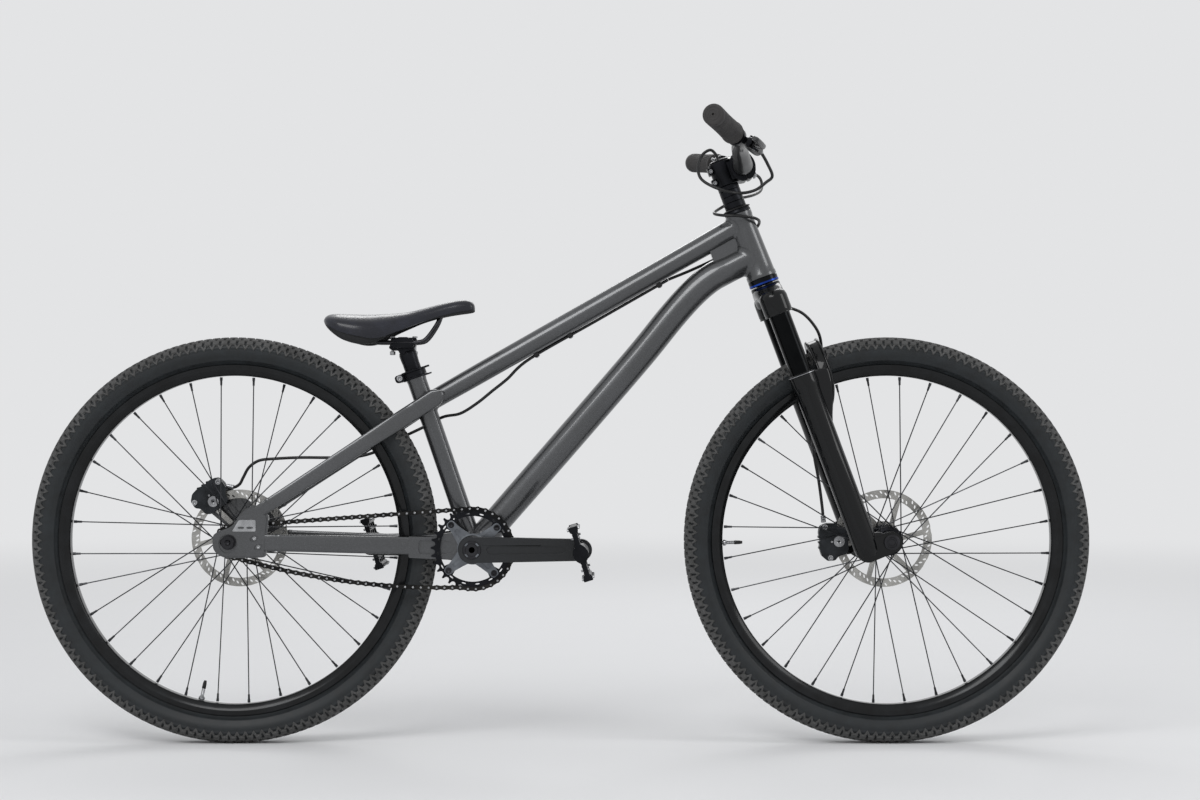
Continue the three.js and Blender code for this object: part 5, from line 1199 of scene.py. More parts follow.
def master_body():
    clamp = [(11.4, -6.5), (14.4, -6.5), (15.2, -5.8), (15.2, 5.8), (14.4, 6.5), (11.4, 6.5)]
    line = eased(cylinder_stations, 4)
    body = lathe(clamp, 56, ring=True)
    body += swept(level_route(line), round_sections(line[:, 2], 32, 2.3, 0.96), (0, 0, 1.0))
    body += slab(eased_corners([(9, -5), (22, -6), (22, 6), (9, 5)], 2), -6, 6)
    lid = eased_corners([(18, -44), (34, -44), (35, -10), (30, 2), (20, 2), (17, -12)], 6)
    body += upright_slab(lid, 6.2, 11.6)
    ear = eased_corners([(24, -6), (34, -7), (46, 6), (48.5, 14), (44, 20.5), (36, 20.5), (28, 8)], 4)
    return body + upright_slab(ear, -8, -4.5) + upright_slab(ear, 4.5, 8)


def lever_blade():
    line = eased(blade_stations, 5)
    sections = [rounded_section((thick, half), 2.8, 28) for half, thick in line[:, 2:4]]
    return swept(level_route(line), sections, (0, 0, 1.0))


for name, side in both_sides:
    body, blade = at_lever(master_body(), side), at_lever(lever_blade(), side)
    blackened(f"brake_master_body_{name}", body, "fork_upper", f"brake_master_{name}", bevel=0.5)
    piece(f"brake_blade_{name}", blade, bar_paint, f"lever_{name}", f"brake_lever_{name}", "black_paint")
    pins = disc(3.1, -8.6, 8.6, 28, "z", 0.5).moved(40, 13.5)
    for y in (-40, -6):
        pins += disc(1.7, 11, 12.2, 20, "z", 0.3).moved(26, y)
    pins += disc(2.6, -20.5, -14, 24, "x", 0.5)
    pins += disc(4.6, -66, -60.4, 6, "y", 0.4).moved(26)
    bright(f"brake_master_screws_{name}", at_lever(pins, side), "fork_upper")


# The tyres. Each is a rubber casing, hooked under the edges of its rim and held out by the
# air in it, with moulded rows of low knobs: square ones on the crown and arrow-shaped ones
# on the shoulders. The casing is black and the knobs are coloured a lighter grey.
wheel_places = {"front": np.array([531.0, 0, 330]), "rear": np.array([-531.0, 0, 330])}
tyre_outer = [
    (279.7, 13.1), (285.9, 13.2), (288.5, 15.4), (291.4, 19.6), (292.2, 21.3), (293.6, 21.9), (298.5, 25.4),
    (304, 27.4), (308.4, 27.8), (311.5, 27.5), (312.3, 27.9), (314, 27.4), (318.6, 24.6), (323, 19.6),
    (325.6, 13.6), (327, 6.5), (327.3, 0),
]
tyre_inner = [
    (279.7, -10.3), (285.9, -10.3), (298, -20), (308, -23.4), (318, -18.5), (323.6, -9), (324.2, 0),
]
knobs_round = 146


def stamp_nodes():
    """Geometry nodes that set one shape again and again along a line of points."""
    tree = bpy.data.node_groups.new("stamps_along_a_line", "GeometryNodeTree")
    kinds = {
        "Line": "Geometry", "Stamp": "Object", "Count": "Int", "Every": "Int", "First": "Int",
        "Side": "Vector", "Finish": "Material",
    }
    for name, kind in kinds.items():
        tree.interface.new_socket(name, in_out="INPUT", socket_type="NodeSocket" + kind)
    tree.interface.new_socket("Stamps", in_out="OUTPUT", socket_type="NodeSocketGeometry")
    bench = Bench(tree)

    def given(name):
        return bench.node("NodeGroupInput", output=name)

    line = bench.node("GeometryNodeMeshToCurve", sockets={"Mesh": given("Line")})
    even = bench.node("GeometryNodeResampleCurve", sockets={"Curve": line, "Count": given("Count")})
    marks = bench.node(
        "GeometryNodeSwitch", {"input_type": "GEOMETRY"},
        {"Switch": given("Count"), "False": line, "True": even},
    )
    align = "FunctionNodeAlignRotationToVector"
    ahead = bench.node(align, {"axis": "X"}, {"Vector": bench.node("GeometryNodeInputTangent")})
    facing = {"Rotation": ahead, "Vector": given("Side")}
    facing = bench.node(align, {"axis": "Y", "pivot_axis": "X"}, facing)
    number = bench.node("GeometryNodeInputIndex")
    chosen = number.math("COMPARE", number.math("MODULO", number, given("Every")), given("First"), 0.5)
    shape = bench.node("GeometryNodeObjectInfo", sockets={"Object": given("Stamp")}, output="Geometry")
    stamps = bench.node(
        "GeometryNodeInstanceOnPoints",
        sockets={"Points": marks, "Selection": chosen, "Instance": shape, "Rotation": facing},
    )
    solid = bench.node("GeometryNodeRealizeInstances", sockets={"Geometry": stamps})
    dressed = bench.node("GeometryNodeSetMaterial", sockets={"Geometry": solid, "Material": given("Finish")})
    bench.node("NodeGroupOutput", sockets={"Stamps": dressed})
    return tree


stamps_along_a_line = stamp_nodes()


def stamped(line, stamp, count, finish, side=(0, 1, 0), every=1, first=0, loop=True):
    """Copies of a form, X along the line and Y to the side. A count of 0 keeps the line's points."""
    links = [(i, i + 1) for i in range(len(line) - 1)]
    if loop:
        links.append((len(line) - 1, 0))
    carrier = laid_out("line", Form(line), links)
    shape = laid_out("stamp", stamp)
    given = {
        "Stamp": shape, "Count": count, "Every": every, "First": first, "Side": side,
        "Finish": finish.material,
    }
    nodes = carrier.modifiers.new("stamps", "NODES")
    nodes.node_group = stamps_along_a_line
    for socket in stamps_along_a_line.interface.items_tree:
        if socket.name in given:
            nodes[socket.identifier] = given[socket.name]
    seen = carrier.evaluated_get(bpy.context.evaluated_depsgraph_get())
    plain = bpy.data.meshes.new_from_object(seen)
    made = Form([v.co / MM for v in plain.vertices], [tuple(f.vertices) for f in plain.polygons])
    for spare in (carrier, shape):
        mesh = spare.data
        bpy.data.objects.remove(spare)
        bpy.data.meshes.remove(mesh)
    bpy.data.meshes.remove(plain)
    return made


def ring_line(radius, across=0.0, start=90.0, count=144):
    """A ring about the axle. Its stamps stand outwards, the first at the start angle."""
    turn = radians(start) - np.arange(count) * 2 * pi / count
    return np.stack([radius * np.cos(turn), np.full(count, across), radius * np.sin(turn)], 1)


def knob(outline, height, lean=0.0):
    """A tread block with sloping sides, leaning towards the sidewall."""
    outline = np.array(outline, float)
    middle = outline.mean(0)
    rings = []
    for share, z in ((1.14, -0.9), (1.04, height * 0.75), (0.92, height)):
        flat = middle + (outline - middle) * share
        rings.append(np.column_stack([flat, np.full(len(flat), z)]))
    return loft(rings).turned(-lean, "x")


def tyre_finish(name, colours, roughness):
    """Rubber that is cleaner in some places and dustier in others."""
    made = Finish(name, Specular_IOR_Level=0.4)
    cloud = made.spread(made.noise(38, 5, 0.65), 0.32, 0.7)
    made.toned(cloud, colours).wear(Roughness=roughness + cloud * 0.12)
    return made.wear(Normal=made.raised(made.noise(900, 3, 0.7), 0.05 * MM, 0.5))


casing_rubber = tyre_finish("tyre_casing_rubber", ("#121517", "#1f2427"), 0.46)
knob_rubber = tyre_finish("tyre_knob_rubber", ("#3c3c3b", "#575757"), 0.76)
arrow = [(-5.4, -3.6), (-1.9, 2.4), (0, 4.6), (1.9, 2.4), (5.4, -3.6), (2.3, -3.6), (0, 0.6), (-2.3, -3.6)]
bar_block = [(-4.8, -4.2), (-5.4, 4.2), (4.2, 4.2), (4.8, -4.2)]
crown_block = [(-5.3, -4.7), (-4.2, 0), (-5.3, 4.7), (3.9, 4.7), (5, 0), (3.9, -4.7)]
tread_rows = [
    (326.6, 6.4, 3.2, 6, crown_block, 0.0), (324.5, 15.7, 3, 24, bar_block, 0.5),
    (320.2, 22.8, 3.2, 46, bar_block, 0.0), (314.4, 26.9, 2.2, 68, arrow, 0.5),
]
for name, place in wheel_places.items():
    casing = lathe(both_halves(tyre_outer) + both_halves(tyre_inner), 180, ring=True).moved(*place)
    body = f"{name}_wheel"
    piece(f"{name}_tyre_casing", casing, casing_rubber, body, f"{name}_tyre", "tyre_rubber", crease=50)
    tread = Form()
    pitch = 360 / knobs_round
    for radius, across, height, lean, outline, shift in tread_rows:
        block = knob(outline, height, lean)
        for side, shape, ahead in ((-1, block.mirrored(), 0), (1, block, 0.25)):
            line = ring_line(radius, side * across, 90 + pitch * (shift + ahead), knobs_round)
            tread += stamped(line, shape, knobs_round, knob_rubber)
    piece(f"{name}_tyre_knobs", tread.moved(*place), knob_rubber, body, slot="tyre_rubber", crease=25)


# The rims. A hollow aluminium box section, rolled to a hoop, pinned at a seam and anodised
# black. The tyre's edges hook under its side walls, and the valve stands in a hole of its
# own, held by a knurled ring and closed by a plastic cap.
rim_half = [
    (285.6, 14.2), (285.9, 15.2), (285.2, 16), (278.6, 16), (276.8, 15.5), (269, 9.9), (267.6, 8.2),
    (267.3, 4),
]
rim_well = [(285.6, -13.3), (279.2, -13.3), (277, -11.6), (271.4, -6.8), (270.2, -4)]
valve_turns = {"front": 181, "rear": -102}
rim_black = alloy("rim_black", ("#0b0c0d", "#17191b"), 0.3, 1200, 0.35)
cap_plastic = rubber("cap_plastic", ("#101011", "#1c1c1e"), 0.45, 500, 0.02)
for name, place in wheel_places.items():
    hoop = lathe(both_halves(rim_half, False) + both_halves(rim_well, False), 192, ring=True)
    hoop = hoop.moved(*place)
    piece(f"{name}_rim_hoop", hoop, rim_black, f"{name}_wheel", f"{name}_rim", "black_alloy", 28)
    stem_profile = [(0, 239.6), (2.2, 239.6), (2.6, 240.6), (2.6, 243)]
    for i in range(14):
        stem_profile += [(3, 243.6 + i * 1.2), (2.7, 244.2 + i * 1.2)]
    stem_profile += [(4.6, 262), (5.2, 262.6), (5.2, 265.6), (4.8, 266.2), (3, 266.6)]
    stem_profile += [(3, 270.5), (0, 270.5)]
    cover = [(0, 234.8), (1.9, 234.8), (2.4, 235.8), (3.1, 240), (3.3, 247.4), (3, 248), (0, 248)]
    turn = valve_turns[name] - 90
    for part, profile, worn, slot in (
        ("stem", stem_profile, bright_bolt, "bright_steel"), ("cap", cover, cap_plastic, "hose_plastic"),
    ):
        form = lathe(profile, 20, "z").turned(turn).moved(*place)
        piece(f"{name}_valve_{part}", form, worn, f"{name}_wheel", slot=slot)


# The hubs and their spokes. Each hub is a turned black alloy shell with two flanges and a
# boss for the brake disc. Sixteen steel spokes a side hang from each flange, hooked through
# its holes from either face by turns, cross three others and end in nipples in the rim.
spoke_steel = brushed("spoke_steel", ("#2a2b2d", "#47484b"), 0.3, (1, 1, 1), 700)
hub_sizes = {
    "front": dict(end=54.7, end_radius=12, bore=7.7, flange=24, right=32, left=24, boss=38.75),
    "rear": dict(end=67.2, end_radius=10, bore=5.2, flange=25, right=21, left=33, boss=50.75),
}
shell_radius_of_hub, boss_radius = 15, 22
rim_end, swing = 265.9, 67.5


def hub_shell(end, end_radius, bore, flange, right, left, boss):
    def rise(side, plane):
        return [
            (shell_radius_of_hub, -side * 9 + plane), (shell_radius_of_hub + 2, -side * 5.5 + plane),
            (shell_radius_of_hub + 5, -side * 2.6 + plane), (flange - 1.2, -side * 1.75 + plane),
            (flange, -side * 1.2 + plane), (flange, side * 1.2 + plane), (flange - 1.2, side * 1.75 + plane),
        ]

    profile = [(bore, -end), (end_radius - 0.8, -end), (end_radius, 0.8 - end), (end_radius, 9 - end)]
    profile += [(end_radius + 2.6, 10.5 - end), (shell_radius_of_hub + 1, -right - 7)]
    profile += [(shell_radius_of_hub + 2.5, -right - 3.4)] + rise(-1, -right)[::-1]
    profile += [(shell_radius_of_hub - 0.6, 0)] + rise(1, left)
    profile += [(boss_radius - 2, left + 3), (boss_radius - 1.4, boss - 5), (boss_radius, boss - 4)]
    profile += [(boss_radius, boss), (end_radius + 2.6, boss), (end_radius + 2, boss + 4)]
    profile += [(end_radius, boss + 5), (end_radius, end - 0.8), (end_radius - 0.8, end), (bore, end)]
    return lathe(profile, 72, ring=True)


def spoke(hole_radius, turn, across, face):
    """One spoke, seen from its hole: out from one face of the flange to the rim at an angle."""
    tip = np.array([-rim_end * sin(radians(turn)), across, rim_end * cos(radians(turn)) - hole_radius])
    root = np.array([0, face * 2.8, 0])
    way = unit(tip - root)
    line = [np.array([0, face * y, 0]) for y in (-3.1, -2.2, -1.7, 1.2)]
    line += [np.array([0, face * 2.4, 0]) + way * 0.5, root + way * 3]
    line += [tip - way * back for back in (60, 13.4, 13, 5.4, 5, 0)]
    radii = (1.3, 2.0, 1.0, 1.0, 1.0, 1.0, 0.95, 0.95, 1.7, 1.9, 2.3, 2.4)
    return swept(line, round_sections(radii, 8))


for name, place in wheel_places.items():
    sizes = hub_sizes[name]
    body = f"{name}_wheel"
    blackened(f"{name}_hub_shell", hub_shell(**sizes).moved(*place), body, f"{name}_hub", crease=25)
    for label, side in both_sides:
        plane = side * sizes[label]
        hole_radius = sizes["flange"] - 2.8
        ring = ring_line(hole_radius, plane, valve_turns[name] + side * 5.625, 16)
        laced = Form()
        for first, turn, face in ((0, -swing, -side), (1, swing, side)):
            wire = spoke(hole_radius, turn, side * 3 - plane, face)
            laced += stamped(ring, wire, 16, spoke_steel, every=2, first=first)
        spokes = f"{name}_spokes_{label}"
        piece(spokes + "_laced", laced.moved(*place), spoke_steel, body, spokes, "dark_steel")


# The brake discs. Each is cut from stainless sheet, with a pierced braking band on six
# arms, ground bright where the pads rub, and screwed to the hub's boss by six bolts.
disc_radius, band_inner, disc_centre, disc_bore, arm_half, arm_lean = 80, 66, 28.5, 15.5, 4.4, 9
disc_planes = {"front": 40, "rear": 52}
disc_steel = brushed("disc_steel", ("#8f8e8b", "#b9b8b4"), 0.28, (1, 1, 1), 600)


def disc_sheet():
    turns = np.radians(np.arange(0, 360, 2.5))
    flats = [0.9 * cos(t) * (sin(9 * t) > 0.72) for t in turns]
    outer = [(disc_radius * cos(t) - flat, disc_radius * sin(t)) for t, flat in zip(turns, flats)]
    holes = [[(disc_bore * cos(t), disc_bore * sin(t)) for t in turns[::3]]]
    for k in range(6):
        window = []
        for radius, lean, count, order in ((band_inner, arm_lean, 14, 1), (disc_centre, 0, 7, -1)):
            half = np.degrees(atan2(arm_half, radius))
            window += arc(radius, 60 * k + half + lean, 60 * (k + 1) - half + lean, count)[::order]
        holes.append(eased_corners(window, 0.8, 2))
        for j in range(10):
            holes.append(spun(oval(((70, 73, 76)[j % 3], 0), (3.1, 1.35), 38, 8), 60 * k + 6 * j + 3))
    return slab(outer, -0.95, 0.95, holes)


sheet = disc_sheet()
for name, place in wheel_places.items():
    plane = disc_planes[name]
    made = sheet.moved(*place).moved(0, plane)
    piece(f"{name}_disc_sheet", made, disc_steel, f"{name}_wheel", f"{name}_rotor", "bright_steel")
    head = lathe([(0, 0), (3.4, 0), (3.6, 0.5), (3.4, 2), (1.6, 2.2), (1.4, 1.2), (0, 1.2)], 16, "z")
    bolts = stamped(ring_line(21.4, 0, 30, 6), head.turned(-90, "x"), 6, bright_bolt)
    bright(f"{name}_disc_bolts", bolts.moved(*place).moved(0, plane + 0.9), f"{name}_wheel")


# The axles. The front one is a steel shaft with a wide head at each end, pushed through the
# fork's feet. The rear one is bolted at both dropouts by round nuts with a hexagon socket.
rear_centre = wheel_places["rear"]
axle_head = [
    (0, 76.5), (7.4, 76.5), (7.4, 78.4), (12.2, 78.4), (13, 79.2), (13, 81.2), (12, 82.3), (8.4, 82.3),
    (7.8, 81.2), (5.6, 81.2), (5, 80), (0, 80),
]
rear_washer = [(0, 74.9), (12, 74.9), (12, 79.2), (0, 79.2)]
front_axle_bar = lathe([(0, -78.2), (7.5, -78.2), (7.5, 78.2), (0, 78.2)], 40)
rear_axle_bar = lathe([(0, -78), (5, -78), (5, 78), (0, 78)], 32)
screws = Form()
for side in (-1, 1):
    front_axle_bar += lathe([(r, side * y) for r, y in axle_head], 48)
    rear_axle_bar += lathe([(r, side * y) for r, y in rear_washer], 48)
    rear_axle_bar += socket_bolt(10, 79, 85.8, side, 0.45)
    for x, z in adjuster_places:
        screws += socket_bolt(3.3, dropout_outer - 2.8, dropout_outer - 0.7, side).moved(x, 0, z)
for name, form, body in (("front", front_axle_bar, "fork_lowers"), ("rear", rear_axle_bar, "frame")):
    form = form.moved(*wheel_places[name])
    piece(f"{name}_axle_shaft", form, dark_steel, body, f"{name}_axle", "dark_steel", 28)
bright("dropout_screws", screws.moved(*rear_centre), "frame")
insert = eased_corners([(6, 17.5), (44, 17.5), (44, 36), (17, 36)], 2.5)
windows = [oval((x, 23.5), (5.4, 1.8)) for x in (20.5, 34.5)]
insert = slab(insert, -dropout_outer - 1.5, -dropout_outer + 1, windows)
bright("dropout_insert_right", insert.moved(*rear_centre), "frame", bevel=0.4)


# The bottom bracket and the cranks. Bearing cups are screwed into the shell. The cranks are
# forged, satin black alloy arms with a long groove outside, on a hollow steel spindle, and
# the right one carries a grey four-armed spider that holds the chainring with four bolts.
crank_length, arm_root, arm_end, arm_inner, arm_outer = 175, 21, 17.5, 66, 80
spider_turns = [41.6 + 90 * k for k in range(4)]
bolt_circle = 52
crank_black = flaked_paint("crank_black", ("#16181a", "#1f2124", "#33363a"), 0.45, 0.36, 0.25, 2600)
spider_grey = alloy("spider_grey", ("#5a5d62", "#777b80"), 0.34, 900, 0.1)

cups = Form()
for side in (-1, 1):
    face = [
        (12.8, 36.9), (20.4, 36.9), (21, 37.6), (21, 42.2), (20.2, 43), (17, 43), (16.6, 43.9), (13.6, 43.9),
        (12.8, 43.2),
    ]
    cups += lathe([(r, side * y) for r, y in face], 64, ring=True)
    notch = slab([(-1.5, -0.4), (1.5, -0.4), (1.5, 0.5), (-1.5, 0.5)], -2.4, 2.4)
    cups += stamped(ring_line(20.9, side * 39.7, 0, 16), notch, 16, black_alloy)
blackened("bottom_bracket_cups", cups.moved(*bottom_bracket), "frame", "bottom_bracket", crease=28)


def recessed(outline, pockets, low, high, depth):
    """A plate with pockets sunk into its high face."""
    loops = [list(outline), *[list(pocket) for pocket in pockets]]
    count = len(outline)
    points = [(x, low, z) for x, z in outline]
    starts = []
    for loop in loops:
        starts.append(len(points))
        points += [(x, high, z) for x, z in loop]
    faces = [tuple(range(count))]
    for i in range(count):
        j = (i + 1) % count
        faces.append((i, j, j + count, i + count))
    flat = [[Vector((x, z, 0)) for x, z in loop] for loop in loops]
    faces += [tuple(i + count for i in face) for face in tessellate_polygon(flat)]
    for loop, start in zip(loops[1:], starts[1:]):
        floor = len(points)
        points += [(x, high - depth, z) for x, z in loop]
        for i in range(len(loop)):
            j = (i + 1) % len(loop)
            faces.append((start + i, start + j, floor + j, floor + i))
        faces.append(tuple(range(floor, floor + len(loop))))
    return Form(points, faces)


def crank_arm():
    """The arm with its groove outwards, towards +Y, and its pedal towards +X."""
    outline = stadium(arm_root, arm_end, crank_length, 28)
    groove = eased_corners([(27, -7.2), (146, -5.4), (152, 0), (146, 5.4), (27, 7.2), (22, 0)], 5, 5)
    arm = recessed(outline, [groove], arm_inner + 1.5, arm_outer, 2.6)
    arm += lathe([(0, 44.3), (19.5, 44.3), (20.8, 45.6), (20.8, 62), (23, 68), (0, 68)], 56)
    return arm


def set_round(form, turns):
    made = Form()
    for turn in turns:
        made += form.turned(turn)
    return made


arm = crank_arm()
for name, made in (("right", arm.mirrored()), ("left", arm.turned(180))):
    made = made.moved(*bottom_bracket)
    node = f"crank_{name}"
    piece(f"crank_arm_{name}", made, crank_black, "crank", node, "black_paint", bevel=1.6, steps=3)
limb = both_halves([(14, -15), (30, -10.4), (44, -7.4), (54, -7), (58, -4.4)], False)
hollow = eased_corners([(24, -4.6), (41, -3.2), (41, 3.2), (24, 4.6)], 1.6, 3)
limb = recessed(eased_corners(limb, 1.5, 2), [hollow], 49.8, 54, 2).mirrored()
spider = set_round(limb, spider_turns)
spider += lathe([(13, -49.8), (24, -49.8), (25, -50.8), (25, -53.6), (22, -56), (13, -56)], 56, ring=True)
piece("crank_spider", spider.moved(*bottom_bracket), spider_grey, "crank", slot="black_alloy", bevel=0.7)

ring_bolt = socket_bolt(5, 53.9, 55.6, -1, 0.55) + disc(5.6, -46.6, -44.9, 24)
fittings = set_round(ring_bolt.moved(bolt_circle), spider_turns)
cap_face = [(0, 72), (15, 72), (15, 81), (14.2, 82), (10.4, 82), (9.8, 81.2), (5, 81.2), (4.4, 80), (0, 80)]
fittings += lathe([(r, -y) for r, y in cap_face], 48)
left_face = [(6, 60), (12.2, 60), (12.2, 80.4), (11.2, 81), (8.2, 81), (7.4, 79), (6, 79)]
fittings += lathe(left_face, 48, ring=True)
fittings += disc(12, -66, 66, 40)
piece("crank_fittings", fittings.moved(*bottom_bracket), dark_steel, "crank", slot="dark_steel", crease=28)
mark = eased_corners([(10.9, -2.6), (13.5, -3.2), (13.5, 3.2), (10.9, 2.6)], 0.6, 2)
slots = set_round(slab(mark, -82.15, -81.6), (45, 135, 225, 315))
piece("crank_cap_slots", slots.moved(*bottom_bracket), spider_grey, "crank", slot="bright_steel")


# The chain and its two sprockets. The toothed ring is cut from alloy plate and the small
# cog from steel. The chain's links are pairs of black steel plates, inner and outer by turns,
# pressed on to bright pins, with a roller on each pin.
link_pitch, ring_teeth, cog_teeth, chain_plane, lower_sag = 12.7, 32, 12, -48, 15


def pitch_radius(teeth):
    return link_pitch / 2 / sin(pi / teeth)


def chain_line():
    """The closed line through the pins: over the ring, along the slack run and round the cog."""
    big, small = pitch_radius(ring_teeth), pitch_radius(cog_teeth)
    run = rear_centre - bottom_bracket
    span = float(np.linalg.norm(run))
    back = atan2(run[2], run[0]) * 180 / pi
    wedge = np.degrees(np.arccos((big - small) / span))
    sag = atan2(4 * lower_sag, span) * 180 / pi
    over = arc(big, back - wedge, back + wedge - 360 - sag, 90, bottom_bracket[[0, 2]])
    round_cog = arc(small, back + wedge + sag, back - wedge, 40, rear_centre[[0, 2]])
    (x0, z0), (x1, z1) = over[-1], round_cog[0]
    slack = [
        (x0 + (x1 - x0) * t, z0 + (z1 - z0) * t - 4 * lower_sag * t * (1 - t))
        for t in np.linspace(0, 1, 25)[1:-1]
    ]
    return np.array([*over, *slack, *round_cog])


def evenly(line, spacing):
    """An even number of points round a closed line, as near as can be to the spacing."""
    loop = np.vstack([line, line[0]])
    along = np.concatenate([[0], np.cumsum(np.linalg.norm(np.diff(loop, axis=0), axis=1))])
    count = 2 * round(along[-1] / spacing / 2)
    marks = np.arange(count) * along[-1] / count
    return np.stack([np.interp(marks, along, loop[:, i]) for i in (0, 1)], 1)


pins = evenly(chain_line(), link_pitch)
middles = (pins + np.roll(pins, -1, 0)) / 2
pin_line = np.insert(pins, 1, chain_plane, 1)
link_line = np.insert(middles, 1, chain_plane, 1)


def link(inner_face, outer_face):
    end = arc(4.15, -125, 125, 7, (link_pitch / 2, 0))
    return plates([*end, (0, 2.7), *[(-x, -z) for x, z in end], (0, -2.7)], inner_face, outer_face)


chain_black = brushed("chain_black", ("#1a1a1b", "#333230"), 0.42, (1, 1, 1), 700)
chain = stamped(link_line, link(2.45, 3.15), 0, chain_black, every=2, first=0)
chain += stamped(link_line, link(3.2, 3.9), 0, chain_black, every=2, first=1)
chain += stamped(pin_line, disc(3.9, -2.4, 2.4, 12, chamfer=0.3), 0, chain_black)
piece("chain_links", chain, chain_black, "frame", "chain", "dark_steel", 28)
bright("chain_rivets", stamped(pin_line, disc(1.9, -4.3, 4.3, 10, chamfer=0.5), 0, bright_bolt), "frame")


def sprocket(teeth, phase):
    """Teeth and the round roots between them, where the rollers lie."""
    middle, roller = pitch_radius(teeth), 4.05
    leans = [radians(lean) for lean in (-68, -40, 0, 40, 68)]
    root = [(middle - roller * cos(lean), roller * sin(lean)) for lean in leans]
    tip = [(middle + 3.0, z) for z in (-1.3, 1.3)]
    outline = []
    for i in range(teeth):
        at = phase + i * 2 * pi / teeth
        for shape, turn in ((root, at), (tip, at + pi / teeth)):
            outline += [(x * cos(turn) - z * sin(turn), x * sin(turn) + z * cos(turn)) for x, z in shape]
    return outline


def phase_of(centre, outward):
    reach = (pins[:, 0] - centre[0]) * outward
    x, z = pins[int(np.argmax(reach))] - centre[[0, 2]]
    return atan2(z, x)


inner_edge = []
for turn in spider_turns:
    half = 8.5 / 53 * 180 / pi
    inner_edge += arc(45, turn - half, turn + half, 6) + arc(53, turn + half + 1.5, turn + 88.5 - half, 14)
holes = [eased_corners(inner_edge, 1, 2)]
holes += [spun(oval((56.9, 0), (1.1, 3.6), 0, 12), turn) for turn in np.arange(16) * 22.5 + 7.85]
chainring = slab(sprocket(ring_teeth, phase_of(bottom_bracket, 1)), -49.5, -46.5, holes)
chainring = chainring.moved(*bottom_bracket)
piece("chainring_plate", chainring, black_alloy, "crank", "chainring", "dark_steel", bevel=0.35)
cog = slab(sprocket(cog_teeth, phase_of(rear_centre, -1)), -49.2, -46.8, [arc(13, 0, 350, 35)])
sleeve_profile = [(10.4, -62), (15.4, -62), (16.4, -61), (16.4, -58.4), (15.6, -57.8), (15.6, -56.4)]
for i in range(9):
    level = -56 + i * 3.1
    sleeve_profile += [(17, level + 0.3), (17, level + 2.5), (15.9, level + 2.8)]
sleeve_profile += [(16.6, -27), (10.4, -27)]
cog += lathe(sleeve_profile, 56, ring=True)
spline = slab([(-0.9, -0.6), (0.9, -0.6), (0.9, 0.7), (-0.9, 0.7)], -1.6, 1.6)
cog += stamped(ring_line(15.8, -59.8, 0, 14), spline, 14, dark_steel)
piece("rear_cog_and_spacers", cog.moved(*rear_centre), dark_steel, "cog", "rear_cog", "bright_steel", 25)


# The pedals. Each is a cast platform round a bearing tube, open between its bars, studded
# with screwed-in pins on both faces, and turning on a steel axle screwed into the crank.
pedal_inner, pedal_outer, pedal_lean = 86, 186, 17
axle_steel = brushed("axle_steel", ("#5b5c5f", "#8b8c90"), 0.3, (1, 1, 1), 600)


def pedal_body():
    """The platform standing on edge, its axle along +Y from the crank outwards."""
    end_plate = [
        (-4, 36), (-7.5, 38), (-7.5, 44), (7.5, 44), (7.5, 38), (4, 36), (3.8, 15), (9, 10), (12.4, 3),
        (12.4, -3), (9, -10), (3.8, -15), (4, -36), (7.5, -38), (7.5, -44), (-7.5, -44), (-7.5, -38),
        (-4, -36), (-3.8, -15), (-9, -10), (-12.4, -3), (-12.4, 3), (-9, 10), (-3.8, 15),
    ]
    end_plate = eased_corners(end_plate, 1.5, 3)
    body = slab(end_plate, pedal_inner, pedal_inner + 7) + slab(end_plate, pedal_outer - 7, pedal_outer)
    bar = [(-7, 36.4), (-5.6, 43.6), (5.6, 43.6), (7, 36.4), (4.6, 33.4), (-4.6, 33.4)]
    bar = eased_corners(bar, 1.2, 2)
    rib = [(-3.4, 22), (3.4, 22), (3.4, 26.4), (-3.4, 26.4)]
    for up in (-1, 1):
        for outline in (bar, rib):
            body += slab([(x, up * z) for x, z in outline], pedal_inner + 3, pedal_outer - 3)
    for y in (pedal_inner + 33, pedal_inner + 63):
        body += slab([(-3.4, -37), (3.4, -37), (3.4, 37), (-3.4, 37)], y, y + 4.5)
    tube = [
        (0, pedal_inner + 0.2), (12.5, pedal_inner + 0.2), (12.5, pedal_inner + 16), (11, pedal_inner + 20),
        (10.6, 150), (11, pedal_outer - 18), (12.5, pedal_outer - 13), (12.5, pedal_outer - 0.2),
        (10.2, pedal_outer - 0.2), (9.6, pedal_outer - 1.2), (5, pedal_outer - 1.2), (0, pedal_outer - 1.2),
    ]
    return body + lathe(tube, 48)


def pedal_pins():
    studs = Form()
    stud = disc(1.9, -0.4, 3.2, 10, "z", 0.4)
    for face in (-1, 1):
        for z in (-40, 40):
            line = [(face * 6.9, y, z) for y in np.linspace(pedal_inner + 9, pedal_outer - 9, 5)]
            studs += stamped(line, stud, 0, bright_bolt, side=(0, 0, face), loop=False)
        for y in (pedal_inner + 3.5, pedal_outer - 3.5):
            line = [(face * 3.9, y, z) for z in (-26, 26)]
            studs += stamped(line, stud, 0, bright_bolt, side=(0, -face, 0), loop=False)
    return studs


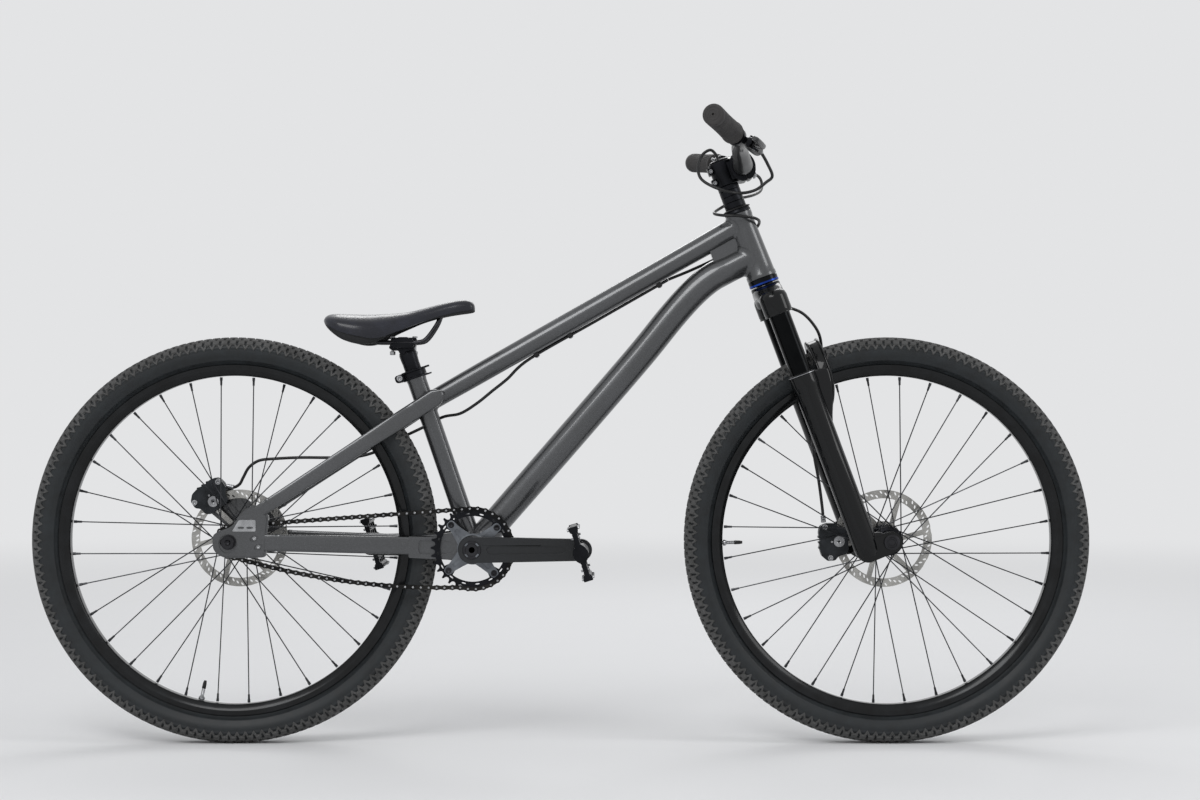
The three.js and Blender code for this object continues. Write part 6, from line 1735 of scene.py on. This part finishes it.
body, studs = pedal_body(), pedal_pins()
axle = [
    (0, 66.2), (6.9, 66.2), (6.9, 80.1), (9, 80.2), (9, 82), (7.4, 82.3), (7.4, 85.9), (6.9, 86.4),
    (6.9, 181.6), (0, 181.6),
]
axle = lathe(axle, 32)
for name, side in both_sides:
    at = bottom_bracket + np.array([-side * crank_length, 0, 0])
    forms = (body.turned(pedal_lean), studs.turned(pedal_lean), axle)
    forms = [(form if side > 0 else form.mirrored()).moved(*at) for form in forms]
    pedal, axle_node = f"pedal_{name}", f"pedal_axle_{name}"
    blackened(f"pedal_platform_{name}", forms[0], pedal, pedal, bevel=0.6)
    bright(f"pedal_studs_{name}", forms[1], pedal)
    piece(f"pedal_axle_bar_{name}", forms[2], axle_steel, "crank", axle_node, "bright_steel", 25)


# The disc brake calipers. Two black cast halves bolted together across the disc, with a
# slot that holds the pads, two bright bolts into the fork's or the frame's mounts, a round
# piston cap, a pad pin and a turned fitting for the hose.
caliper_turns, pad_gap = {"front": 163, "rear": 125}, 2.8


def caliper(plane, inner, outer):
    """The caliper in its own frame: X away from the axle, Z round it, Y across the bicycle."""
    shape = [
        (59, -17), (62, -22), (72, -23), (80, -30), (92, -31), (104, -27), (107, -16), (105, -4), (107, 8),
        (104, 22), (95, 31), (82, 31), (76, 24), (64, 22), (59, 15),
    ]
    shape = eased_corners(shape, 3, 3)
    bridge = eased_corners([(85, -27), (103, -24), (105, -10), (105, 12), (101, 24), (85, 27)], 4, 3)
    made = Form()
    made += slab(shape, plane - inner, plane - pad_gap) + slab(shape, plane + pad_gap, outer)
    made += slab(bridge, plane - inner + 1, outer - 1)
    for z in (-9, 0, 9):
        fin = [(84, z - 1.8), (108, z - 1.8), (108, z + 1.8), (84, z + 1.8)]
        made += slab(fin, plane - inner + 2, outer - 2)
    return made


def caliper_bolts(plane, inner, outer):
    made = Form()
    for x, z in ((96, -25), (90, 26)):
        made += socket_bolt(4.6, outer - 1, outer + 3.4).moved(x, 0, z)
        made += socket_bolt(4.6, inner - plane - 1, inner - plane + 3.2, -1).moved(x, 0, z)
    made += socket_bolt(9.2, inner - plane - 1, inner - plane + 1.2, -1, 0.4).moved(74)
    made += disc(2, plane - inner - 1.4, outer + 1.4, 16).moved(86, 0, 0)
    return made


def at_caliper(form, name):
    form = form.turned(caliper_turns[name])
    if name == "front":
        return on_fork(form.moved(axle_ahead, 0, axle_down))
    return form.moved(*rear_centre)


caliper_black = alloy("caliper_black", ("#1d1f21", "#323538"), 0.42, 600, 0.1)
for name, plane, inner, outer, body in (
    ("front", 40, 12, 50, "fork_lowers"), ("rear", 52, 12, 67.2, "frame"),
):
    halves = at_caliper(caliper(plane, inner, outer), name)
    node = f"{name}_brake_caliper"
    piece(f"{name}_caliper_halves", halves, caliper_black, body, node, "black_alloy", bevel=0.9)
    bright(f"{name}_caliper_bolts", at_caliper(caliper_bolts(plane, inner, outer), name), body)


# The brake hoses. Black plastic pipes with a bead of crimped metal at each end. The front
# one goes down through the steerer and along the left leg. The rear one loops round the head
# tube, slack enough for the bar to turn, and runs under the top tube in screwed clips.
hose_half = 2.5
hose_plastic = rubber("hose_plastic", ("#0f0f10", "#1a1a1c"), 0.36, 400, 0.01)
front_upper = [
    (52, -178, 184), (54.5, -167, 178), (58, -157, 162), (59, -152, 141), (50, -118, 137), (32, -72, 134),
    (8, -44, 141), (-20, -38, 160), (-38, -24, 184), (-35, -12, 206), (-21, -4, 222), (-6, -1, 225),
    (0, 0, 214), (0, 0, 203), (0, 0, 190), (0, 0, 150), (0, 0, 60), (0, 0, -32),
]
front_lower = [
    (0, 0, -33), (2, 0, -42), (10, 2, -50), (24, 6, -60), (42, 13, -76), (53, 20, -98), (57, 25, -122),
    (50, 31, -150), (34, 31.6, -176), (12, 33, -215), (-6, 37, -258), (-18, 42, -300), (-26, 47, -345),
    (-36, 46, -388), (-43, 42, -412),
]
rear_loop = [
    (312, 178, 948), (321, 168, 944), (333, 159, 937), (338, 152, 925), (334, 124, 910), (318, 84, 899),
    (292, 50, 890), (262, 22, 873), (250, -8, 862), (264, -30, 857), (290, -34, 856), (316, -22, 853),
    (324, 4, 847), (313, 24, 832), (290, 30, 812), (258, 28, 792), (214, 15, 771), (176, 5, 755),
]
rear_run = [
    (175, 4.7, 754.4), (60, 4, 688.7), (-50, 4, 625.8), (-88, 7, 592), (-112, 10, 573), (-137, 14, 553),
    (-165, 21, 536), (-194, 26, 530), (-227, 29, 513), (-248, 31, 503), (-271, 34, 492), (-302, 35, 474),
    (-340, 36, 464), (-382, 40, 463), (-431, 46, 463), (-473, 50, 461), (-499, 52, 458), (-516, 53, 447),
    (-526, 54, 430), (-532, 54.5, 419), (-542, 56, 413.5), (-553, 58, 415.5),
]


def hose(points):
    return swept(eased(points, 8), round_sections([hose_half], 12))


def ferrule(start, towards, radius=3.6, length=9):
    """A crimped bead where a hose ends, with two turned grooves."""
    way = unit(np.array(towards) - np.array(start))
    groove = radius - 0.6
    stations = [
        (0, radius), (0.3, radius), (0.36, groove), (0.42, radius), (0.6, radius), (0.66, groove),
        (0.72, radius), (0.92, radius), (1, hose_half + 0.2),
    ]
    line = [np.array(start) + way * length * t for t, _ in stations]
    return swept(line, round_sections([r for _, r in stations], 20))


def bent_between(first, second, start, end):
    return first, second, tuple(np.array(start) * MM), tuple(np.array(end) * MM)


def hose_piece(name, form, body, node):
    piece(name, form, hose_plastic, body, node, "hose_plastic", crease=60)


fork_bend = on_fork(Form([(0, 0, -28), (57, 25, -122)])).points
fork_bend = bent_between("fork_upper", "fork_lowers", *fork_bend)
head_bend = bent_between("frame", "fork_upper", rear_loop[-1], rear_loop[3])
hose_piece("front_hose_upper", on_fork(hose(front_upper)), "fork_upper", "front_brake_hose_upper")
hose_piece("front_hose_lower", on_fork(hose(front_lower)), fork_bend, "front_brake_hose_lower")
hose_piece("rear_hose_loop", hose(rear_loop), head_bend, "rear_brake_hose_loop")
hose_piece("rear_hose_run", hose(rear_run), "frame", "rear_brake_hose")
for name, form, body in (
    ("front_hose_ferrule", on_fork(ferrule(front_upper[0], front_upper[1])), "fork_upper"),
    ("rear_hose_ferrule", ferrule(rear_loop[0], rear_loop[1]), "fork_upper"),
    ("front_hose_fitting", on_fork(ferrule(front_lower[-1], front_lower[-2], 4.2, 12)), "fork_lowers"),
    ("rear_hose_fitting", ferrule(rear_run[-1], rear_run[-2], 4.2, 12), "frame"),
):
    bright(name, form, body)

clips, clip_screws = Form(), Form()
under_tube = eased(rear_run, 8)
clip = eased_corners([(-4.4, 9), (-4.4, -2.6), (-2.6, -4.2), (2.6, -4.2), (4.4, -2.6), (4.4, 9)], 1, 2)
for x in (-42, 10, 162):
    at = under_tube[np.argmin(np.abs(under_tube[:, 0] - x))]
    stance = (at, along_top, leftward, np.cross(along_top, leftward))
    clips += slab_along(clip, -4, 4, [1, 0, 2]).based(*stance)
    clip_screws += disc(2.6, -5.4, -4, 20, "z", 0.4).based(*stance)
piece("hose_clips", clips, hose_plastic, "frame", slot="hose_plastic", bevel=0.4)
bright("hose_clip_screws", clip_screws, "frame")
